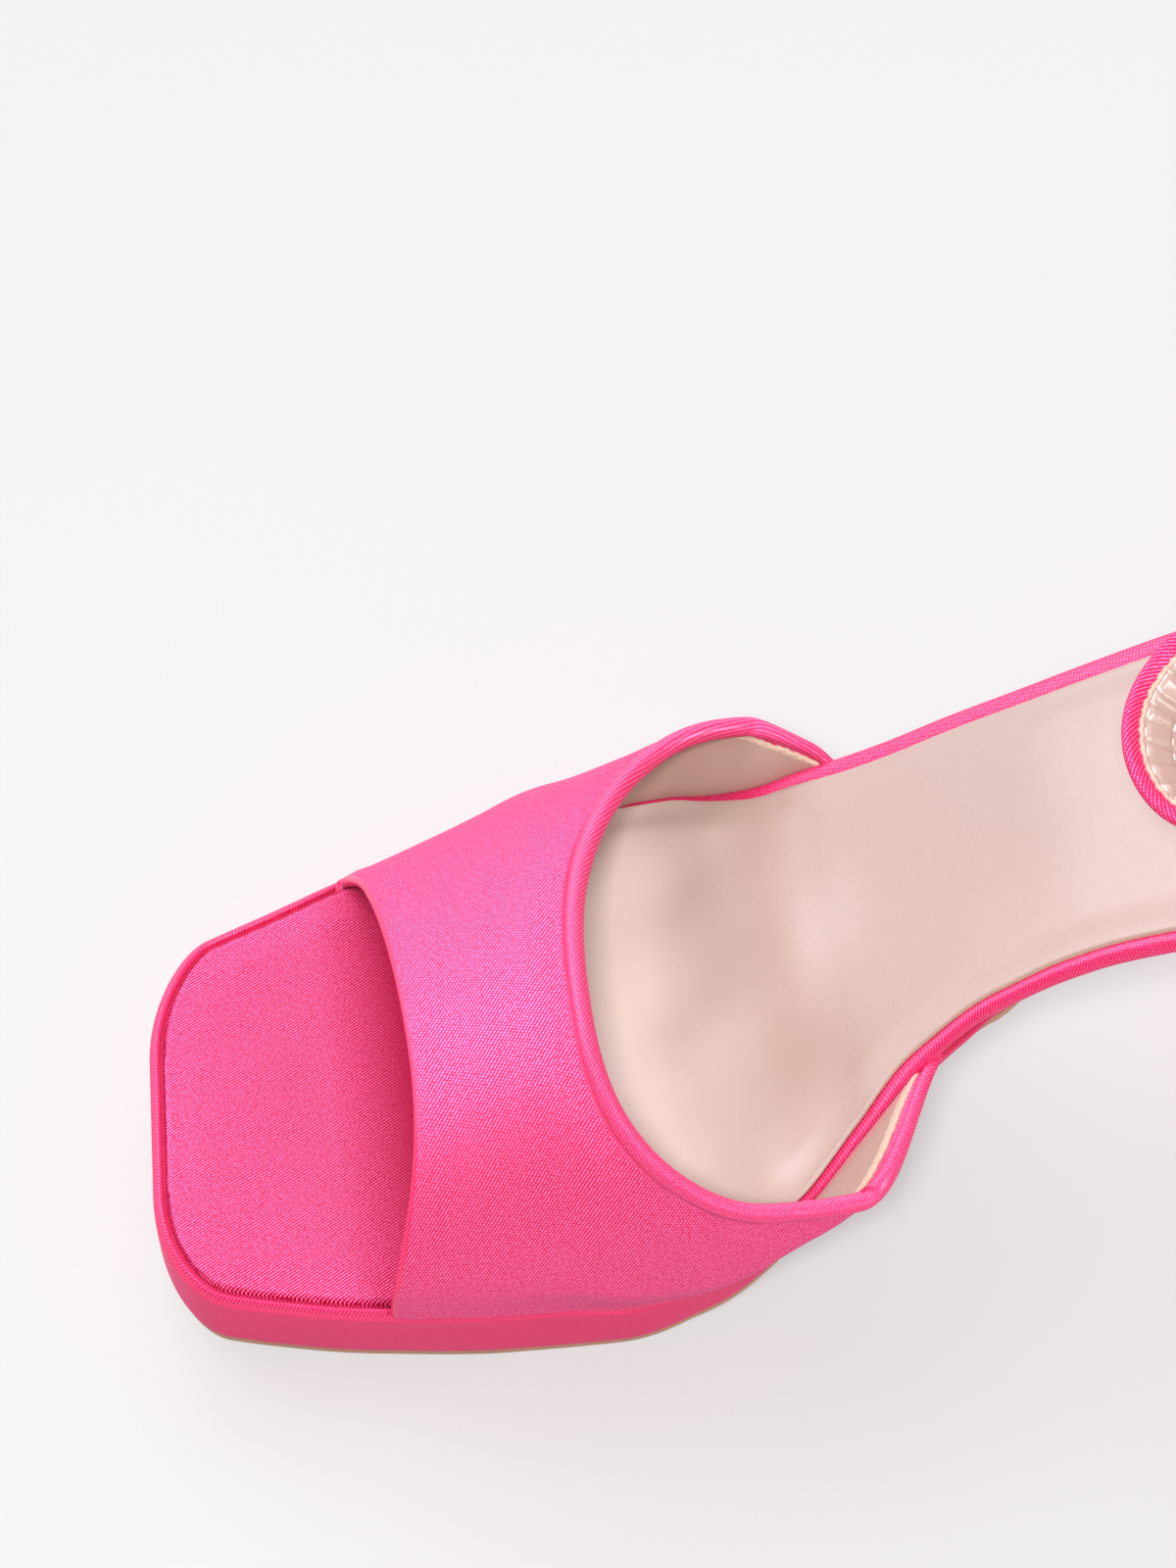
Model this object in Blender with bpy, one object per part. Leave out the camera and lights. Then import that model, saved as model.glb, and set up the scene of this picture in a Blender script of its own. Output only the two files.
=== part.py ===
"""Right-foot square-toe platform sandal: a satin vamp band, a cushioned insole, a heel counter with an
elastic ankle strap, and a covered block heel.

+X runs from toe to heel, -Y is the inner (big toe) side and +Z is up. The floor is Z = 0 and the origin
lies under the middle of the shoe. Sizes are in millimetres, and become metres where vertices are made.
"""

import math
from collections import namedtuple

import bmesh
import bpy
import numpy as np
from mathutils import Matrix, Vector

MM = 0.001

# Driving sizes
SHOE_LENGTH = 226.0       # along the floor, from the toe's front edge to the back of the heel seat
GAP = 0.3                 # clearance between neighbouring pieces
BOARD_THICK = 2.5         # insole board with its rolled satin rim
BOARD_RECESS = 1.1        # how far the rim stands above the board inside it
SOCK_THICK = 1.2
SOCK_INSET = 2.7          # from the rim's outer edge to the sock's cut edge
TOE_SOCK_INSET = 2.3
TOE_SOCK_END = 52.0       # under the vamp, where the satin toe sock meets the nude sock
PLATFORM_END = 128.0
OUTSOLE_THICK = 1.9
LIP_HEIGHT = 1.9          # the platform's edge stands this much above its top, beside the board
LIP_RAMP = 0.8
LIP_FADE = 58.0
HEEL_BREAST = 170.0       # where the sole stops and the heel begins
HEEL_TIP_THICK = 5.0

# Toe outline: a slanted straight front between two rounded corners
TOE_SLANT = 0.075
TOE_SLANT_REACH = 31.0
TOE_CORNER_LATERAL = 10.0
TOE_CORNER_MEDIAL = 9.5
TOE_FLAT_LATERAL = 8.0
TOE_FLAT_MEDIAL = 15.0
HEEL_CURVE = 30.0         # length of the rounded end of the heel seat
HEEL_FLAT = 3.0

# Upper
WALL = 1.8                # satin, stiffener and lining together
VAMP_FRONT_SIDE = 32.0
VAMP_FRONT_MIDDLE = 38.6
VAMP_FRONT_BOW_LATERAL = 1.0
VAMP_FRONT_BOW_MEDIAL = 2.4
VAMP_THROAT = 66.0        # the lowest point of the throat, on the instep
VAMP_TAIL_LATERAL = 112.0
VAMP_TAIL_MEDIAL = 119.0
THROAT_SHARPNESS = 2.4
TUCK_DEPTH = 2.6          # the board draws in by more than a wall's thickness where the vamp passes it
TUCK_START = 31.2
TUCK_LENGTH = 0.4
TUCK_FADE = 70.0
TUCK_END = 84.0
SEAT_RISE = 5.0           # above this height the vamp's wall is square to its surface, and level at its seat
FLARE_RISE = 11.0         # height over which the wings lean out from the board
CREST_SKEW = 10.0          # the instep ridge lies towards the inner side

COUNTER_FRONT = 173.0
COUNTER_RISE = 56.0       # at the back of the heel, above the board's underside
COUNTER_LEAN = 7.0        # how far its top leans in
COUNTER_BULGE = 1.2       # how far it swells below that
COUNTER_EDGE_ROUND = 0.4
STRAP_WIDTH = 11.0
STRAP_ROOT = 204.0        # where the strap's ends are sewn inside the counter
STRAP_LOOP = 192.0        # where the loop leaves the counter
STRAP_APEX = 149.0        # the loop's foremost point
STRAP_MIDDLE = 2.6
STRAP_HALF = 19.0
STRAP_ROOT_HEIGHT = 128.0
STRAP_APEX_HEIGHT = 93.0
STRAP_SWAY = -4.5         # the slack loop falls towards the inner side
STRAP_ROOT_TILT = -4.0
STRAP_APEX_TILT = 58.0    # how far the band leans forward, in degrees from upright
STRAP_ROOT_SHARE = 0.12

SoleSection = namedtuple("SoleSection", "along lateral medial")
SOLE_SECTIONS = (
    SoleSection(0.0, 24.6, 31.5),
    SoleSection(16.0, 31.0, 35.6),
    SoleSection(32.0, 36.9, 38.7),
    SoleSection(50.0, 41.9, 40.8),
    SoleSection(68.0, 43.6, 41.3),
    SoleSection(82.0, 42.7, 39.4),
    SoleSection(95.0, 40.0, 34.9),
    SoleSection(105.0, 37.4, 27.5),
    SoleSection(115.0, 35.4, 20.6),
    SoleSection(126.0, 33.8, 17.4),
    SoleSection(140.0, 31.6, 18.2),
    SoleSection(156.0, 30.0, 20.8),
    SoleSection(178.0, 29.2, 23.0),
    SoleSection(200.0, 28.8, 23.8),
    SoleSection(226.0, 28.0, 23.4),
)

Profile = namedtuple("Profile", "along insole platform")
PROFILES = (
    Profile(0.0, 18.8, 10.6),
    Profile(14.0, 16.7, 10.6),
    Profile(28.0, 15.6, 10.6),
    Profile(66.0, 15.6, 10.6),
    Profile(78.0, 18.4, 9.4),
    Profile(92.0, 26.6, 6.9),
    Profile(108.0, 38.2, 3.8),
    Profile(128.0, 53.2, 1.4),
    Profile(142.0, 63.2, 1.4),
    Profile(158.0, 73.0, 1.4),
    Profile(176.0, 81.4, 1.4),
    Profile(200.0, 88.8, 1.4),
    Profile(226.0, 93.4, 1.4),
)

# The slopes say how soon each side leans in: 1 stands upright at the board, 2 is a plain arch
VampSection = namedtuple("VampSection", "along lateral medial crest lateral_slope medial_slope")
VAMP_SECTIONS = (
    VampSection(28.0, 36.6, 39.6, 24.1, 1.7, 1.3),
    VampSection(40.0, 41.0, 41.6, 28.6, 1.55, 1.25),
    VampSection(55.0, 45.3, 43.4, 35.1, 1.35, 1.2),
    VampSection(68.0, 48.4, 45.0, 40.6, 1.15, 1.1),
    VampSection(82.0, 48.7, 46.1, 46.1, 1.05, 1.0),
    VampSection(95.0, 46.3, 44.3, 50.6, 1.0, 1.0),
    VampSection(104.0, 43.4, 42.8, 53.6, 1.0, 1.0),
    VampSection(112.0, 39.8, 40.3, 55.6, 1.0, 1.0),
    VampSection(120.0, 38.1, 32.5, 57.6, 1.0, 1.0),
)

CounterRow = namedtuple("CounterRow", "along rise")
COUNTER_ROWS = (
    CounterRow(173.0, 4.0),
    CounterRow(181.0, 15.0),
    CounterRow(190.0, 34.0),
    CounterRow(200.0, 46.0),
    CounterRow(212.0, 53.0),
    CounterRow(226.0, COUNTER_RISE),
)

# Counts of facets
TOE_STEPS = 8
SOLE_STEPS = 36
HEEL_STEPS = 8
VAMP_STEPS_ROUND = 52
VAMP_STEPS_ALONG = 8
WING_CROWDING = 0.72      # how much closer the vamp's slices lie at its wings
COUNTER_STEPS = 8
STRAP_STEPS = 48

SATIN = ("satin", (0.80, 0.045, 0.22), 0.42)
NUDE = ("nude_leather", (0.73, 0.50, 0.43), 0.45)
TAN = ("tan_rubber", (0.50, 0.29, 0.16), 0.6)


def smooth_curve(rows, column):
    """A function through a table's column over its along column, with no overshoot between rows."""
    places = [row.along for row in rows]
    values = [getattr(row, column) for row in rows]
    steps = [(values[i + 1] - values[i]) / (places[i + 1] - places[i]) for i in range(len(rows) - 1)]
    slopes = [steps[0]]
    for before, after in zip(steps, steps[1:]):
        slopes.append(2 * before * after / (before + after) if before * after > 0 else 0.0)
    slopes.append(steps[-1])

    def value(along):
        along = min(max(along, places[0]), places[-1])
        i = max(k for k in range(len(places) - 1) if places[k] <= along)
        width = places[i + 1] - places[i]
        s = (along - places[i]) / width
        return (values[i] * (1 + 2 * s) * (1 - s) ** 2 + values[i + 1] * s * s * (3 - 2 * s)
                + width * s * (1 - s) * (slopes[i] * (1 - s) - slopes[i + 1] * s))

    return value


insole_height = smooth_curve(PROFILES, "insole")
platform_depth = smooth_curve(PROFILES, "platform")
SOLE_WIDTH = {"lateral": smooth_curve(SOLE_SECTIONS, "lateral"), "medial": smooth_curve(SOLE_SECTIONS, "medial")}
VAMP_WIDTH = {"lateral": smooth_curve(VAMP_SECTIONS, "lateral"), "medial": smooth_curve(VAMP_SECTIONS, "medial")}
VAMP_SLOPE = {"lateral": smooth_curve(VAMP_SECTIONS, "lateral_slope"),
              "medial": smooth_curve(VAMP_SECTIONS, "medial_slope")}
vamp_crest = smooth_curve(VAMP_SECTIONS, "crest")
counter_top = smooth_curve(COUNTER_ROWS, "rise")


def smoothstep(s):
    s = min(max(s, 0.0), 1.0)
    return s * s * (3 - 2 * s)


def below(along, depth):
    """Height of a surface that lies depth under the insole, measured square to it."""
    slope = insole_height(along + 0.5) - insole_height(along - 0.5)
    return insole_height(along) - depth * math.hypot(1.0, slope)


def rounded_end(width, flat, share):
    """Half width near an end that closes with a quarter ellipse from a flat; share runs from 0 at the end to 1."""
    share = min(share, 1.0)
    return flat + (width - flat) * math.sqrt(1 - (1 - share) ** 2)


def half_width(side, along):
    corner, flat = ((TOE_CORNER_LATERAL, TOE_FLAT_LATERAL) if side == "lateral"
                    else (TOE_CORNER_MEDIAL, TOE_FLAT_MEDIAL))
    width = rounded_end(SOLE_WIDTH[side](along), flat, along / corner)
    return rounded_end(width, HEEL_FLAT, (SHOE_LENGTH - along) / HEEL_CURVE)


def station_list():
    """Places along the shoe, close together where the outline turns."""
    turn = [math.pi / 2 * k / TOE_STEPS for k in range(TOE_STEPS)]
    front = [TOE_CORNER_LATERAL * (1 - math.cos(a)) for a in turn]
    middle_start, middle_end = TOE_CORNER_LATERAL, SHOE_LENGTH - HEEL_CURVE
    middle = list(np.linspace(middle_start, middle_end, SOLE_STEPS + 1))
    tucked = TUCK_START + TUCK_LENGTH
    fixed = [TUCK_START, tucked, tucked + LIP_RAMP, TOE_SOCK_END, TOE_SOCK_END + GAP, PLATFORM_END,
             HEEL_BREAST, HEEL_BREAST + GAP, COUNTER_FRONT]
    middle = sorted(fixed + [a for a in middle if min(abs(a - f) for f in fixed) > 1.5])
    back = [SHOE_LENGTH - HEEL_CURVE * (1 - math.sin(math.pi / 2 * k / HEEL_STEPS))
            for k in range(1, HEEL_STEPS + 1)]
    return front + middle + back


STATIONS = station_list()


def slanted(along, across):
    """The toe's front leans back towards the little toe, and the lean fades out along the shoe."""
    fade = max(0.0, 1 - along / TOE_SLANT_REACH)
    return along + TOE_SLANT * across * fade


def sole_outline():
    """Plan points of the board's edge: the lateral side from toe to heel, then the medial side back to the toe."""
    lateral = [(slanted(a, half_width("lateral", a)), half_width("lateral", a)) for a in STATIONS]
    medial = [(slanted(a, -half_width("medial", a)), -half_width("medial", a)) for a in STATIONS]
    return np.array(lateral + medial[::-1])


OUTLINE = sole_outline()
TANGENTS = np.roll(OUTLINE, -1, axis=0) - np.roll(OUTLINE, 1, axis=0)
INWARD = np.stack([TANGENTS[:, 1], -TANGENTS[:, 0]], axis=1) / np.linalg.norm(TANGENTS, axis=1)[:, None]


def station_index(along):
    return min(range(len(STATIONS)), key=lambda k: abs(STATIONS[k] - along))


def sole_ring(inset, height, start=0.0, end=SHOE_LENGTH):
    """The outline between two stations, moved in by inset, as points at the height that its place along gives."""
    count = len(STATIONS)
    first, last = station_index(start), station_index(end)
    kept = list(range(first, last + 1)) + list(range(2 * count - 1 - last, 2 * count - first))
    ring = []
    for k in kept:
        along, across = OUTLINE[k] + INWARD[k] * inset(OUTLINE[k][0])
        ring.append((along, across, height(along)))
    return ring


def material(name, colour, roughness):
    found = bpy.data.materials.get(name)
    if found:
        return found
    made = bpy.data.materials.new(name)
    made.use_nodes = True
    shader = made.node_tree.nodes["Principled BSDF"]
    shader.inputs["Base Color"].default_value = (*colour, 1.0)
    shader.inputs["Roughness"].default_value = roughness
    return made


def loft(name, rings, finish):
    """A solid through rings of equal count. Each ring runs out along one side and back along the other, and the
    first and last rings are closed by rungs between the two sides."""
    mesh = bmesh.new()
    rows = [[mesh.verts.new(tuple(c * MM for c in point)) for point in ring] for ring in rings]
    count = len(rings[0])
    for low, high in zip(rows, rows[1:]):
        for k in range(count):
            after = (k + 1) % count
            mesh.faces.new((low[k], low[after], high[after], high[k]))
    for row in (rows[0], rows[-1]):
        for k in range(count // 2 - 1):
            mesh.faces.new((row[k], row[k + 1], row[count - 2 - k], row[count - 1 - k]))
    bmesh.ops.recalc_face_normals(mesh, faces=mesh.faces)
    data = bpy.data.meshes.new(name)
    mesh.to_mesh(data)
    mesh.free()
    data.shade_smooth()
    data.set_sharp_from_angle(angle=math.radians(40))
    data.materials.append(material(*finish))
    made = bpy.data.objects.new(name, data)
    bpy.context.scene.collection.objects.link(made)
    return made


# Sole

Edge = namedtuple("Edge", "inset depth")
BOARD_EDGE = (
    Edge(1.5, BOARD_THICK),
    Edge(0.4, 2.1),
    Edge(0.0, 1.3),
    Edge(0.3, 0.5),
    Edge(1.0, 0.0),
    Edge(1.7, 0.25),
    Edge(2.0, BOARD_RECESS),
)


def tuck(along):
    """How far the board lies inside the sole's outline, to leave room for the vamp's wall beside it."""
    share = smoothstep((along - TUCK_START) / TUCK_LENGTH)
    share *= 1 - smoothstep((along - TUCK_FADE) / (TUCK_END - TUCK_FADE))
    return TUCK_DEPTH * share


def insole_board():
    rings = [sole_ring(lambda a, e=e: e.inset + tuck(a), lambda a, e=e: below(a, e.depth)) for e in BOARD_EDGE]
    return loft("insole_board", rings, SATIN)


PLATFORM_SPREAD = 0.2     # how far the platform stands out past the board
LIP_DRAFT = 0.1
PLATFORM_EDGE = (         # depth here is a share of the platform's own depth
    Edge(0.5, 0.02),
    Edge(0.0, 0.1),
    Edge(0.1, 0.5),
    Edge(0.4, 0.9),
    Edge(1.0, 1.0),
)


def lip(along):
    """Height of the platform's edge beside the board, on which the vamp's wall stands."""
    share = smoothstep((along - TUCK_START - TUCK_LENGTH) / LIP_RAMP)
    share *= 1 - smoothstep((along - LIP_FADE) / (TUCK_FADE - LIP_FADE))
    return LIP_HEIGHT * share


def platform_height(along, share):
    top = BOARD_THICK + GAP - lip(along) * (1 - share)
    return below(along, top + share * platform_depth(along))


def platform():
    rings = [sole_ring(lambda a: WALL, lambda a: below(a, BOARD_THICK + GAP), end=PLATFORM_END),
             sole_ring(lambda a: WALL - LIP_DRAFT, lambda a: platform_height(a, 0.0), end=PLATFORM_END)]
    rings += [sole_ring(lambda a, e=e: e.inset - PLATFORM_SPREAD, lambda a, e=e: platform_height(a, e.depth),
                        end=PLATFORM_END)
              for e in PLATFORM_EDGE]
    return loft("platform", rings, SATIN)


OUTSOLE_INSET_TOE = 0.9
OUTSOLE_INSET_WAIST = 2.6
OUTSOLE_TUCK_START = 108.0
OUTSOLE_EDGE = (Edge(0.0, 0.0), Edge(0.0, OUTSOLE_THICK - 0.4), Edge(0.5, OUTSOLE_THICK))


def outsole_inset(along):
    """Close to the platform's wall in front, and tucked under the board behind it."""
    share = smoothstep((along - OUTSOLE_TUCK_START) / (PLATFORM_END - OUTSOLE_TUCK_START))
    return OUTSOLE_INSET_TOE + (OUTSOLE_INSET_WAIST - OUTSOLE_INSET_TOE) * share


def outsole_depth(along):
    """Depth of the outsole's upper face under the insole."""
    return BOARD_THICK + 2 * GAP + platform_depth(along)


def outsole():
    rings = [sole_ring(lambda a, e=e: e.inset + outsole_inset(a),
                       lambda a, e=e: below(a, outsole_depth(a) + e.depth), end=HEEL_BREAST)
             for e in OUTSOLE_EDGE]
    return loft("outsole", rings, TAN)


def sock(name, inset, start, end, finish):
    floor = BOARD_RECESS - GAP
    crown = floor - SOCK_THICK
    edges = (Edge(inset, floor), Edge(inset, crown + 0.5), Edge(inset + 0.5, crown + 0.1), Edge(inset + 2.0, crown))
    rings = [sole_ring(lambda a, e=e: e.inset + tuck(a), lambda a, e=e: below(a, e.depth), start=start, end=end)
             for e in edges]
    return loft(name, rings, finish)


# Heel

HEEL_SEAT_SPREAD = 1.4    # how far the heel's top stands out past the board, to carry the counter
HEEL_BASE_FRONT = 182.0
HEEL_BASE_BACK = 222.0
HEEL_BASE_WIDTH = 40.0
HEEL_RING_SHARES = (0.0, 0.04, 0.12, 0.25, 0.4, 0.6, 0.8, 0.97, 1.0)
HEEL_DRAW = 1.9           # how early the heel draws in on its way down
HEEL_EDGE_ROUND = 0.5


def heel_base(seat):
    """Plan of the heel's foot: the seat's outline shrunk onto a rectangle of the base's sizes."""
    along = np.array([p[0] for p in seat])
    across = np.array([p[1] for p in seat])
    middle = (across.max() + across.min()) / 2
    share = (along - along.min()) / (along.max() - along.min())
    return (HEEL_BASE_FRONT + (HEEL_BASE_BACK - HEEL_BASE_FRONT) * share,
            middle + (across - middle) * HEEL_BASE_WIDTH / (across.max() - across.min()))


def heel_ring(share, inset, foot):
    """Ring of the heel at a share of the way from the seat, 0, to its foot, 1."""
    seat = sole_ring(lambda a: inset - HEEL_SEAT_SPREAD, lambda a: below(a, BOARD_THICK + GAP),
                     start=HEEL_BREAST + GAP)
    base_along, base_across = heel_base(seat)
    draw = 1 - (1 - share) ** HEEL_DRAW
    return [(p[0] + (a - p[0]) * draw, p[1] + (c - p[1]) * draw, p[2] + (foot - p[2]) * share)
            for p, a, c in zip(seat, base_along, base_across)]


def heel():
    rings = [heel_ring(s, HEEL_EDGE_ROUND if s in (0.0, 1.0) else 0.0, HEEL_TIP_THICK + GAP) for s in HEEL_RING_SHARES]
    return loft("heel", rings, SATIN)


def heel_tip():
    levels = (Edge(0.2, HEEL_TIP_THICK), Edge(0.2, 0.6), Edge(0.8, 0.0))
    rings = [[(p[0], p[1], e.depth) for p in heel_ring(1.0, e.inset, e.depth)] for e in levels]
    return loft("heel_tip", rings, TAN)


# Vamp

def vamp_rise(along, turn):
    """Height of the vamp over its seat."""
    slope = VAMP_SLOPE["lateral" if turn < 0.5 else "medial"](along)
    return vamp_crest(along) * math.sin(math.pi * turn) ** slope


def last_point(along, turn):
    """A point of the vamp's outside: turn runs from 0 at the lateral board edge to 1 at the medial one."""
    angle = math.pi * turn
    rise = vamp_rise(along, turn)
    flare = smoothstep(rise / FLARE_RISE)
    reach = {}
    for side in ("lateral", "medial"):
        wing = 1 - tuck(along) / TUCK_DEPTH
        slant = math.hypot(1.0, half_width(side, along + 0.5) - half_width(side, along - 0.5))
        edge = half_width(side, along) + (GAP + WALL) * wing * slant
        reach[side] = edge + (max(VAMP_WIDTH[side](along), edge) - edge) * flare
    middle = (reach["lateral"] - reach["medial"]) / 2
    spread = (reach["lateral"] + reach["medial"]) / 2
    across = middle + spread * math.cos(angle) - CREST_SKEW * math.sin(angle) ** 2
    return np.array((along, across, below(along, BOARD_THICK - lip(along)) + rise))


def vamp_front(turn):
    bow = VAMP_FRONT_BOW_LATERAL if turn < 0.5 else VAMP_FRONT_BOW_MEDIAL
    return VAMP_FRONT_SIDE + (VAMP_FRONT_MIDDLE - VAMP_FRONT_SIDE) * math.sin(math.pi * turn) ** bow


def vamp_back(turn):
    tail = VAMP_TAIL_LATERAL if turn < 0.5 else VAMP_TAIL_MEDIAL
    return VAMP_THROAT + (tail - VAMP_THROAT) * abs(2 * turn - 1) ** THROAT_SHARPNESS


def last_normal(along, turn):
    """Outward direction of the vamp's surface."""
    step = 0.002
    low, high = max(turn - step, 0.0), min(turn + step, 1.0)
    round_way = last_point(along, high) - last_point(along, low)
    long_way = last_point(along + 0.2, turn) - last_point(along - 0.2, turn)
    normal = np.cross(round_way, long_way)
    normal[2] *= smoothstep(vamp_rise(along, turn) / SEAT_RISE)
    return normal / np.linalg.norm(normal)


RollRow = namedtuple("RollRow", "from_edge outside inside")
THROAT_ROLL = (
    RollRow(8.0, 0.0, WALL),
    RollRow(6.0, -0.15, WALL),
    RollRow(4.4, 0.05, WALL),
    RollRow(3.2, 0.6, WALL + 0.2),
    RollRow(1.8, 0.8, WALL + 0.5),
    RollRow(0.6, 0.35, WALL + 0.2),
    RollRow(0.0, -0.5, WALL - 0.5),
)
FRONT_FOLD = (
    RollRow(0.0, -0.5, WALL - 0.5),
    RollRow(0.7, 0.0, WALL),
)


STRAP_SECTION = (         # from_edge here runs from -1 at the lower edge to 1 at the upper one
    RollRow(-1.0, 0.4, 0.4),
    RollRow(-0.85, 1.1, 0.9),
    RollRow(0.0, 1.1, 0.9),
    RollRow(0.85, 1.1, 0.9),
    RollRow(1.0, 0.4, 0.4),
)


def vamp_strip(turn):
    """One ring of the vamp's wall: the outside from front edge to throat, then the lining side back."""
    front, back = vamp_front(turn), vamp_back(turn)
    length = np.linalg.norm(last_point(back, turn) - last_point(front, turn))
    roll = smoothstep(vamp_rise(back, turn) / FLARE_RISE)
    rows = [(front + (back - front) * row.from_edge / length, row.outside, row.inside) for row in FRONT_FOLD]
    plain_start = rows[-1][0]
    plain_end = back - (back - front) * THROAT_ROLL[0].from_edge / length
    for k in range(1, VAMP_STEPS_ALONG):
        rows.append((plain_start + (plain_end - plain_start) * k / VAMP_STEPS_ALONG, 0.0, WALL))
    for row in THROAT_ROLL:
        along = back - (back - front) * row.from_edge / length
        rows.append((along, row.outside * roll, WALL + (row.inside - WALL) * roll if row.from_edge else row.inside))
    outside = [last_point(a, turn) + last_normal(a, turn) * out for a, out, _ in rows]
    inside = [last_point(a, turn) - last_normal(a, turn) * into for a, _, into in rows]
    return outside + inside[::-1]


def vamp():
    shares = [k / VAMP_STEPS_ROUND for k in range(VAMP_STEPS_ROUND + 1)]
    turns = [s - WING_CROWDING * math.sin(2 * math.pi * s) / (2 * math.pi) for s in shares]
    rings = [vamp_strip(turn) for turn in turns]
    return loft("vamp", rings, SATIN)


# Counter and ankle strap

def lean(rise):
    """How far the counter's wall leans in over the heel at a height above the board's underside."""
    share = rise / COUNTER_RISE
    return COUNTER_LEAN * share ** 1.8 - COUNTER_BULGE * math.sin(math.pi * min(1.0, share / 0.8))


def counter_loop(index):
    """One upright slice of the counter: its outside from the seat up, then its lining side down."""
    along, across = OUTLINE[index]
    inward = INWARD[index]
    top = counter_top(along)
    low = below(along, BOARD_THICK)
    shares = [k / COUNTER_STEPS for k in range(COUNTER_STEPS + 1)]
    outside, inside = [], []
    for share in shares:
        rise = top * share
        shift = lean(rise) - GAP
        trim = COUNTER_EDGE_ROUND if share == 1 else 0.0
        out = np.array((along, across)) + inward * (shift - WALL + trim)
        into = np.array((along, across)) + inward * (shift - trim)
        outside.append((*out, low + rise))
        inside.append((*into, low + rise))
    return outside + inside[::-1]


def counter():
    count = len(STATIONS)
    first = station_index(COUNTER_FRONT)
    loops = [counter_loop(k) for k in range(first, 2 * count - first)]
    return loft("counter", loops, SATIN)


def strap_centre(turn):
    """Middle line of the slack strap: straight roots inside the counter, and a loop that drops forward."""
    if turn < STRAP_ROOT_SHARE or turn > 1 - STRAP_ROOT_SHARE:
        from_end = min(turn, 1 - turn) / STRAP_ROOT_SHARE
        along = STRAP_ROOT + (STRAP_LOOP - STRAP_ROOT) * from_end
        angle = 0.0 if turn < 0.5 else math.pi
    else:
        angle = math.pi * (turn - STRAP_ROOT_SHARE) / (1 - 2 * STRAP_ROOT_SHARE)
        along = STRAP_LOOP + (STRAP_APEX - STRAP_LOOP) * math.sin(angle)
    drop = smoothstep((STRAP_ROOT - along) / (STRAP_ROOT - STRAP_APEX))
    across = STRAP_MIDDLE + STRAP_HALF * math.cos(angle) + STRAP_SWAY * math.sin(angle)
    height = STRAP_ROOT_HEIGHT + (STRAP_APEX_HEIGHT - STRAP_ROOT_HEIGHT) * drop
    return np.array((along, across, height)), math.sin(angle)


def strap_loop(turn):
    """Cross-section of the strap: its outside from lower to upper edge, then its lining side down."""
    step = 0.004
    centre, bend = strap_centre(turn)
    ahead = strap_centre(min(turn + step, 1.0))[0] - strap_centre(max(turn - step, 0.0))[0]
    ahead /= np.linalg.norm(ahead)
    outward = np.cross(ahead, (0.0, 0.0, 1.0))
    outward /= np.linalg.norm(outward)
    tilt = math.radians(STRAP_ROOT_TILT + (STRAP_APEX_TILT - STRAP_ROOT_TILT) * smoothstep(bend))
    up = np.array((0.0, 0.0, 1.0)) * math.cos(tilt) + outward * math.sin(tilt)
    up -= ahead * (up @ ahead)
    up /= np.linalg.norm(up)
    face = np.cross(ahead, up)
    outside = [centre + up * row.from_edge * STRAP_WIDTH / 2 + face * row.outside for row in STRAP_SECTION]
    inside = [centre + up * row.from_edge * STRAP_WIDTH / 2 - face * row.inside for row in STRAP_SECTION]
    return outside + inside[::-1]


def ankle_strap():
    loops = [strap_loop(k / STRAP_STEPS) for k in range(STRAP_STEPS + 1)]
    return loft("ankle_strap", loops, SATIN)


def centre_on_floor(pieces):
    """Moves the whole shoe so that the origin is under the middle of its bounding box."""
    points = np.array([v.co for piece in pieces for v in piece.data.vertices])
    low, high = points.min(axis=0), points.max(axis=0)
    shift = Vector((-(low[0] + high[0]) / 2, -(low[1] + high[1]) / 2, -low[2]))
    for piece in pieces:
        piece.data.transform(Matrix.Translation(shift))


def main():
    for old in list(bpy.data.objects):
        bpy.data.objects.remove(old)
    pieces = [
        outsole(),
        platform(),
        insole_board(),
        sock("toe_sock", TOE_SOCK_INSET, 0.0, TOE_SOCK_END, SATIN),
        sock("insole_sock", SOCK_INSET, TOE_SOCK_END + GAP, SHOE_LENGTH, NUDE),
        vamp(),
        heel(),
        heel_tip(),
        counter(),
        ankle_strap(),
    ]
    centre_on_floor(pieces)


main()
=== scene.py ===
"""Looks of the right-foot square-toe platform sandal: satin, leather, gathers, stitches, light and camera.

Each piece is rebuilt smoothly from the sizes and tables of the solid model and stands in for its solid.
Sizes are in millimetres, along the shoe from the toe (+X), across it (the inner side is -Y) and above the
floor (+Z). They become metres in the frame where vertices are made.
"""

import math
from collections import namedtuple

import bmesh
import bpy
import numpy as np
from mathutils import Matrix, Vector


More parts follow.
